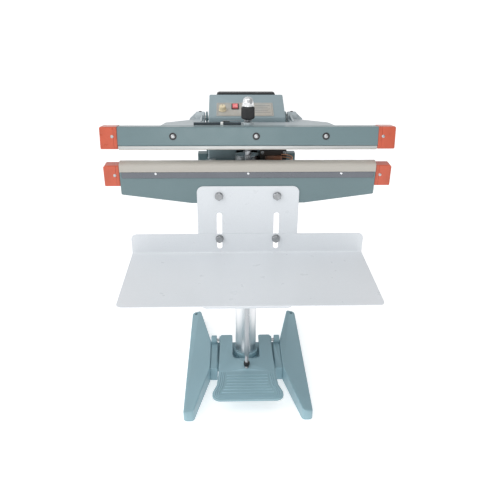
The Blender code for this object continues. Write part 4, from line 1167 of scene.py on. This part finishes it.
def make_upper_jaw():
    """The painted bar with its moulded end caps, the sealing pad under it and the screws in its face."""
    low, high = span("upper_bar", OPEN_JAW)
    section = oblong(low.y, low.z, high.y, high.z, 0.003)
    rings = [[place(p.x, p.y, x, "X") for p in rounded(section, 6, shift)]
             for shift, x in ((0, low.x), (0, high.x), (0.0025, high.x), (0.0025, low.x))]
    sockets = []
    for number in (1, 2, 3):
        screw_low, screw_high = span(f"bar_screw_{number}", OPEN_JAW)
        x, z, _ = axis_centre(screw_low, screw_high, "Y")
        sockets.append(turned(((0.0092, low.y - 0.001), (0.0092, low.y + 0.0006)), (x, z, 0), "Y", count=48))
        ring = ((0.0052, 0.0), (0.0089, 0.0), (0.0089, -0.0012), (0.0083, -0.0017), (0.0056, -0.0017),
                (0.0052, -0.0012))
        start = low.y + 0.0005
        piece(f"bar_washer_{number}", turned(ring, (x, z, start), "Y", closed=True, count=48), BLACK,
              "upper_jaw", OPEN_JAW)
        head = slotted_head(0.0054, 0.0026, (x, z, start - 0.0008), "Y", -1, 0.4 + number, cross=True)
        piece(f"bar_screw_head_{number}", head, ZINC, "upper_jaw", OPEN_JAW, [f"bar_screw_{number}"])
    piece("upper_bar_tube", cut(lofted(rings, closed=True), sockets), GREY_BLUE, "upper_jaw", OPEN_JAW,
          ["upper_bar"])

    for side, sign in SIDES:
        low, high = span(f"upper_cap_{side}", OPEN_JAW)
        near, far = sign * (0.322 + TOUCH), (low.x if sign < 0 else high.x)
        corners = [(near, low.z, 0.0012), (far, low.z, 0.003), (far, high.z, 0.005), (near, high.z, 0.0012)]
        solid = slab(corners, low.y, high.y, "Y", 0.0025)
        groove = block((min(near + sign * 0.008, near + sign * 0.0092), low.y - 0.01, low.z - 0.01),
                       (max(near + sign * 0.008, near + sign * 0.0092), low.y + 0.0009, high.z + 0.01),
                       0.0001, 0.0, "Y")
        piece(f"upper_end_cap_{side}", cut(solid, [groove]), ORANGE, "upper_jaw", OPEN_JAW,
              [f"upper_cap_{side}"])
        middle = (near + sign * 0.012, low.z + 0.031, low.y + 0.0004)
        piece(f"upper_cap_screw_{side}", slotted_head(0.0040, 0.0018, middle, "Y", -1, 0.9, cross=True), ZINC,
              "upper_jaw", OPEN_JAW)

    low, high = span("pad_holder", OPEN_JAW)
    piece("pad_channel", block(low, high, 0.0006, 0.0006, "X"), HOLDER, "upper_jaw", OPEN_JAW, ["pad_holder"])
    low, high = span("silicone_pad", OPEN_JAW)
    section = oblong(low.y, low.z, high.y, high.z, 0.0015, 0.0004)
    piece("silicone_strip", slab(section, low.x, high.x, "X", 0.0005), SILICONE, "upper_jaw", OPEN_JAW,
          ["silicone_pad"])


def make_carrier():
    """The cast arm plate that joins the bar to the hinge shaft, with lugs and the rod's boss."""
    low, high = span("jaw_carrier", OPEN_JAW)
    plate_top = JAW_PIVOT.z - 0.0007
    half = [(0.221, low.y, 0.003), (0.215, 0.005, 0.016), (0.147, 0.087, 0.014), (0.142, high.y, 0.010),
            (0.1145, high.y, 0.006), (0.1145, 0.010, 0.006)]
    plate = slab(mirrored(half), plate_top - 0.008, plate_top, edge=0.0018)
    lug = [(0.0125, 0.0), (0.0165, 0.0008), (0.018, 0.0028), (0.018, 0.0242), (0.0165, 0.0262),
           (0.0125, 0.027)]
    lugs = [turned(lug, (JAW_PIVOT.y, JAW_PIVOT.z, min(sign * 0.1145, sign * 0.1415)), "X", count=64)
            for _, sign in SIDES]
    hole_y = -0.0503
    boss = turned(((0.0145, -0.001), (0.0145, 0.0048), (0.0133, 0.006)), (0, hole_y, plate_top))
    webs = []
    for _, sign in SIDES:
        web = oblong(0.1205, 0.020, 0.1255, 0.100, 0.002)
        web = [(sign * a, b, r) for a, b, r in web]

        def rise(point):
            return 0.010 * max(0.0, (point.y - 0.020) / 0.080)
        webs.append(slab(web, plate_top - 0.001, plate_top + 0.002, edge=0.0, top=rise))
    slant = [(0.139, -0.005, 0.001), (0.158, -0.005, 0.001), (0.158, 0.0, 0.001), (0.1415, 0.015, 0.002),
             (0.139, 0.015, 0.001)]
    gussets = [slab([(sign * a, plate_top + b, r) for a, b, r in slant][::sign], JAW_PIVOT.y - 0.009,
                    JAW_PIVOT.y + 0.009, "Y", 0.0008) for _, sign in SIDES]
    solid = combined([plate, *lugs, boss, *webs, *gussets])
    hole = turned(((0.0084, plate_top - 0.02), (0.0084, plate_top + 0.02)), (0, hole_y, 0), count=48)
    shaft = turned(((0.0073, -0.142), (0.0073, 0.142)), (JAW_PIVOT.y, JAW_PIVOT.z, 0), "X", count=48)
    piece("carrier_casting", cut(solid, [hole, shaft]), LIGHT_CAST, "upper_jaw", OPEN_JAW, ["jaw_carrier"])
    grub = [(0.0042, 0.0), (0.0042, 0.0012), (0.0034, 0.0018), (0.0022, 0.0018, "hex"),
            (0.0022, 0.0002, "hex")]
    screws = [turned([(r, h, *k) for r, h, *k in grub], (sign * 0.128, JAW_PIVOT.y, JAW_PIVOT.z + 0.0176),
                     count=36)
              for _, sign in SIDES]
    piece("lug_grub_screws", many(screws), BLACK, "upper_jaw", OPEN_JAW)


def make_switch():
    """The cable clipped along the carrier, the microswitch and its sprung lever."""
    low, high = span("switch_cable", OPEN_JAW)
    radius = (high.z - low.z) / 2
    y, z = (low.y + high.y) / 2, (low.z + high.z) / 2
    path = []
    for k in range(61):
        x = low.x + (high.x - low.x) * k / 60
        path.append(Vector((x, y + 0.0008 * math.sin(x * 70), z - 0.0001)))
    piece("switch_lead", swept(path, radius, 20), CABLE, "upper_jaw", OPEN_JAW, ["switch_cable"],
          60)
    clips = []
    for x in (-0.066,):
        outer = oblong(y - 0.0060, low.z - 0.0002, y + 0.0052, high.z + 0.0010, 0.001, 0.0035)
        clip = slab(outer, x - 0.0035, x + 0.0035, "X", 0.0006)
        bore = turned(((radius + 0.0002, -0.01), (radius + 0.0002, 0.01)), (y, z, x), "X", count=32)
        clips.append(cut(clip, [bore]))
    piece("cable_clips", many(clips), CLIP, "upper_jaw", OPEN_JAW)

    low, high = span("microswitch", OPEN_JAW)
    case = block(low, (high.x, high.y, high.z - 0.0008), 0.001, 0.0004)
    middle = (low + high) / 2
    rivets = [turned(((0.0012, 0.0), (0.0012, 0.0105), (0.0008, 0.0108)),
                     (middle.x + dx, middle.z - 0.001, low.y
                                                                        - 0.0004), "Y", count=24)
              for dx in (-0.0055, 0.0055)]
    button = turned(((0.0013, -0.0014), (0.0013, 0.0006), (0.0009, 0.0010)),
                    (low.x + 0.007, middle.y, high.z - 0.001), count=24)
    piece("microswitch_case", combined([case, *rivets, button]), BLACK, "upper_jaw", OPEN_JAW,
          ["microswitch"])
    low, high = span("switch_lever", OPEN_JAW)
    middle = (low + high) / 2
    path = [Vector((low.x + (high.x - low.x) * k / 24, middle.y, middle.z)) for k in range(25)]
    piece("sprung_lever", swept(path, (high.y - low.y) / 2, 12, 0.12), SPRING, "switch_lever", OPEN_JAW,
          ["switch_lever"], 40)


# ---------------------------------------------------------------- inside the head

def make_transformer():
    """A stack of laminations, the taped winding on its limb, and a coppery lead."""
    low, high = span("transformer_core")
    wind_low, wind_high = span("transformer_winding")
    core = block(low, high, 0.0012, 0.0006, "Y")
    windows = [block((x, low.y - 0.01, low.z + 0.012), (x + 0.014, high.y + 0.01, low.z + 0.040), 0.001,
                     0.0, "Y")
               for x in (low.x + 0.012, low.x + 0.044)]
    piece("core_stack", cut(core, windows), CORE, "stand", replaces=["transformer_core"])
    winding = block(wind_low, wind_high, 0.006, 0.0018, "Z", 8)
    limb = block((low.x + 0.0257, low.y - 0.0003, low.z), (low.x + 0.0443, high.y + 0.0003, high.z), 0.0003,
                 0.0, "Y")
    piece("winding_coil", cut(winding, [limb]), WINDING, "stand", replaces=["transformer_winding"])
    bolts = [hex_head(0.007, 0.0040, 0.0044, (x, z, low.y - 0.0001), "Y", -1, shank=0.002, length=0.0001)
             for x in (low.x + 0.006, high.x - 0.006) for z in (low.z + 0.006, high.z - 0.006)]
    piece("core_bolts", many(bolts), ZINC, "stand")
    leads = []
    for lift in (0.0, 0.007):
        path = []
        for k in range(33):
            turn = math.pi * k / 32
            path.append(Vector((wind_high.x - 0.002 + 0.030 * math.sin(turn),
                                wind_low.y + 0.004 + 0.016 * k / 32,
                                wind_low.z + 0.012 + lift + 0.012 * math.cos(turn))))
        leads.append(swept(path, 0.0016, 12))
    piece("winding_leads", many(leads), COPPER, "stand", sharp=60)


def make_timer_board():
    low, high = span("timer_board")
    board = block((low.x, low.y, low.z), (high.x, high.y, low.z + 0.0016), 0.002, 0.0002)
    relay = block((low.x + 0.010, low.y + 0.008, low.z + 0.001),
                  (low.x + 0.038, low.y + 0.024, low.z + 0.017), 0.0015, 0.0008)
    can = turned(((0.0088, 0.001), (0.009, 0.0025), (0.0086, 0.0040), (0.009, 0.0055), (0.009, 0.0272),
                  (0.0084, 0.028), (0.0075, 0.0277)), (0.010, 0.060, low.z))
    terminals = block((0.030, 0.076, low.z + 0.001), (0.066, 0.088, low.z + 0.012), 0.001, 0.0008)
    screws = [turned(((0.0019, low.z + 0.009), (0.0019, low.z + 0.014)), (x, 0.082, 0), count=20)
              for x in (0.035, 0.0435, 0.0525, 0.061)]
    piece("board_plate", board, BOARD, "stand", replaces=["timer_board"])
    piece("board_parts", many([relay, can]), BLACK, "stand")
    piece("board_terminals", cut(terminals, screws), CLIP, "stand")
    low, high = span("timer_body", LID)
    x, y, z = axis_centre(low, high, "Z")
    radius = (high.x - low.x) / 2
    can = turned(((radius - 0.0008, 0.0), (radius, 0.0008), (radius, 0.0120), (radius - 0.0008, 0.0128),
                  (0.0045, 0.0128), (0.0045, high.z - low.z)), (x, y, z))
    piece("timer_pot", can, ZINC, "stand", LID, ["timer_body"])


def hex_nut(across, thick, bore, centre, axis):
    """A chamfered hexagon nut."""
    half = across / 2
    profile = [(bore, 0.0004), (bore + 0.0006, 0.0), (half * 0.9, 0.0), (half, 0.0007), (half, 0.0009, "hex"),
               (half, thick - 0.0009, "hex"), (half, thick - 0.0007), (half * 0.9, thick),
               (bore + 0.0006, thick), (bore, thick - 0.0004)]
    return turned(profile, centre, axis, closed=True, count=48)


def make_nuts_and_pins():
    """Chamfered nuts on the clamping bolts, and the pedal's hinge pins."""
    for kind, body in (("bracket", "stand"), ("table", "table")):
        for side in ("left", "right"):
            node = f"{kind}_nut_{side}"
            low, high = span(node)
            nut = hex_nut(0.017, high.y - low.y, 0.0053, axis_centre(low, high, "Y"), "Y")
            piece(f"{kind}_hex_nut_{side}", nut, ZINC, body, replaces=[node])
    for side in ("left", "right"):
        low, high = span(f"pedal_pin_{side}")
        length = high.x - low.x
        profile = ((0.0042, 0.0), (0.005, 0.0008), (0.005, length - 0.0008), (0.0042, length))
        piece(f"hinge_pin_{side}", turned(profile, axis_centre(low, high, "X"), "X", count=36), ZINC, "stand",
              replaces=[f"pedal_pin_{side}"])
    low, high = span("rod_lower_nut", LEAN)
    nut = hex_nut(0.017, high.z - low.z, 0.0053, axis_centre(low, high, "Z"), "Z")
    piece("rod_stop_nut", nut, ZINC, "pull_rod", LEAN, ["rod_lower_nut"])
    low, high = span("pressure_spring", LEAN)
    x, y, z = axis_centre(low, high, "Z")
    piece("pressure_coil", helix(0.0090, 0.0009, high.z - low.z, 3.2, (x, y, z)), SPRING, "pull_rod", LEAN,
          ["pressure_spring"], 60)


# ---------------------------------------------------------------- floor, light and camera

WORLD_LEFT = 1.0     # strength of the surroundings on the left and on the right
WORLD_RIGHT = 0.40
WORLD_FADE = 0.9     # how far out to each side the strength goes on changing
SOFTBOXES = (
    ("key_left", (-2.4, -1.6, 2.6), (0, -0.1, 0.45), (1.6, 1.6), 20.0),
    ("top_front", (0.3, -1.2, 3.2), (0, -0.1, 0.5), (2.0, 1.2), 10.0),
    ("front_fill", (-0.1, -1.7, 0.95), (0, -0.05, 0.68), (0.6, 0.4), 2.0),
)


def make_stage():
    floor = bpy.data.meshes.new("floor")
    bm = bmesh.new()
    bmesh.ops.create_grid(bm, x_segments=2, y_segments=2, size=40.0)
    bm.to_mesh(floor)
    bm.free()
    item = bpy.data.objects.new("studio_floor", floor)
    item.location.z = -0.0004
    bpy.context.scene.collection.objects.link(item)
    surface = Surface("studio_white", 0.6)
    surface.colour(surface.blend(surface.noise(3.0), (0.84, 0.84, 0.84), (0.88, 0.88, 0.88)))
    surface.shader.inputs["Emission Color"].default_value = (1.0, 1.0, 1.0, 1.0)
    surface.shader.inputs["Emission Strength"].default_value = 0.5
    floor.materials.append(surface.material)

    world = bpy.data.worlds.new("studio")
    bpy.context.scene.world = world
    world.use_nodes = True
    nodes, links = world.node_tree.nodes, world.node_tree.links
    background = nodes["Background"]
    coordinates = nodes.new("ShaderNodeTexCoord")
    split = nodes.new("ShaderNodeSeparateXYZ")
    links.new(coordinates.outputs["Generated"], split.inputs["Vector"])
    ramp = nodes.new("ShaderNodeMapRange")
    set_range(ramp, -WORLD_FADE, WORLD_FADE, WORLD_LEFT, WORLD_RIGHT)
    links.new(split.outputs["X"], ramp.inputs["Value"])
    links.new(ramp.outputs["Result"], background.inputs["Strength"])
    background.inputs["Color"].default_value = (0.98, 0.99, 1.0, 1.0)

    for name, place_at, aim, size, power in SOFTBOXES:
        light = bpy.data.lights.new(name, "AREA")
        light.shape = "RECTANGLE"
        light.size, light.size_y = size
        light.energy = power
        lamp = bpy.data.objects.new(name, light)
        lamp.location = place_at
        lamp.rotation_euler = (Vector(aim) - Vector(place_at)).to_track_quat("-Z", "Y").to_euler()
        bpy.context.scene.collection.objects.link(lamp)


CAMERA_LENS = 41.16
CAMERA_SHIFT = 0.0077
CAMERA_PLACE = (-0.0483, -1.4872, 1.1490)
CAMERA_TURN = (-1.84, 63.09, 0.42)     # yaw, pitch and roll in degrees


def make_camera():
    camera = bpy.data.cameras.new("view")
    camera.lens = CAMERA_LENS
    camera.sensor_width = 36.0
    camera.shift_x = CAMERA_SHIFT
    item = bpy.data.objects.new("view", camera)
    yaw, pitch, roll = (math.radians(angle) for angle in CAMERA_TURN)
    turn = Matrix.Rotation(yaw, 4, "Z") @ Matrix.Rotation(pitch, 4, "X") @ Matrix.Rotation(roll, 4, "Z")
    item.matrix_world = Matrix.Translation(CAMERA_PLACE) @ turn
    bpy.context.scene.collection.objects.link(item)
    bpy.context.scene.camera = item
    bpy.context.scene.view_settings.view_transform = "Standard"


def main():
    make_legs()
    make_hub()
    make_column()
    make_pedal()
    make_rod()
    make_return_spring()
    make_lower_jaw()
    make_bracket()
    make_table()
    make_head_frame()
    make_control_box()
    make_panel()
    make_upper_jaw()
    make_carrier()
    make_switch()
    make_transformer()
    make_timer_board()
    make_nuts_and_pins()
    for node, material in (("element_base", BASE_TAPE), ("heating_ribbon", RIBBON)):
        frame["nodes"][node].data.materials[0] = material
    make_stage()
    make_camera()


main()
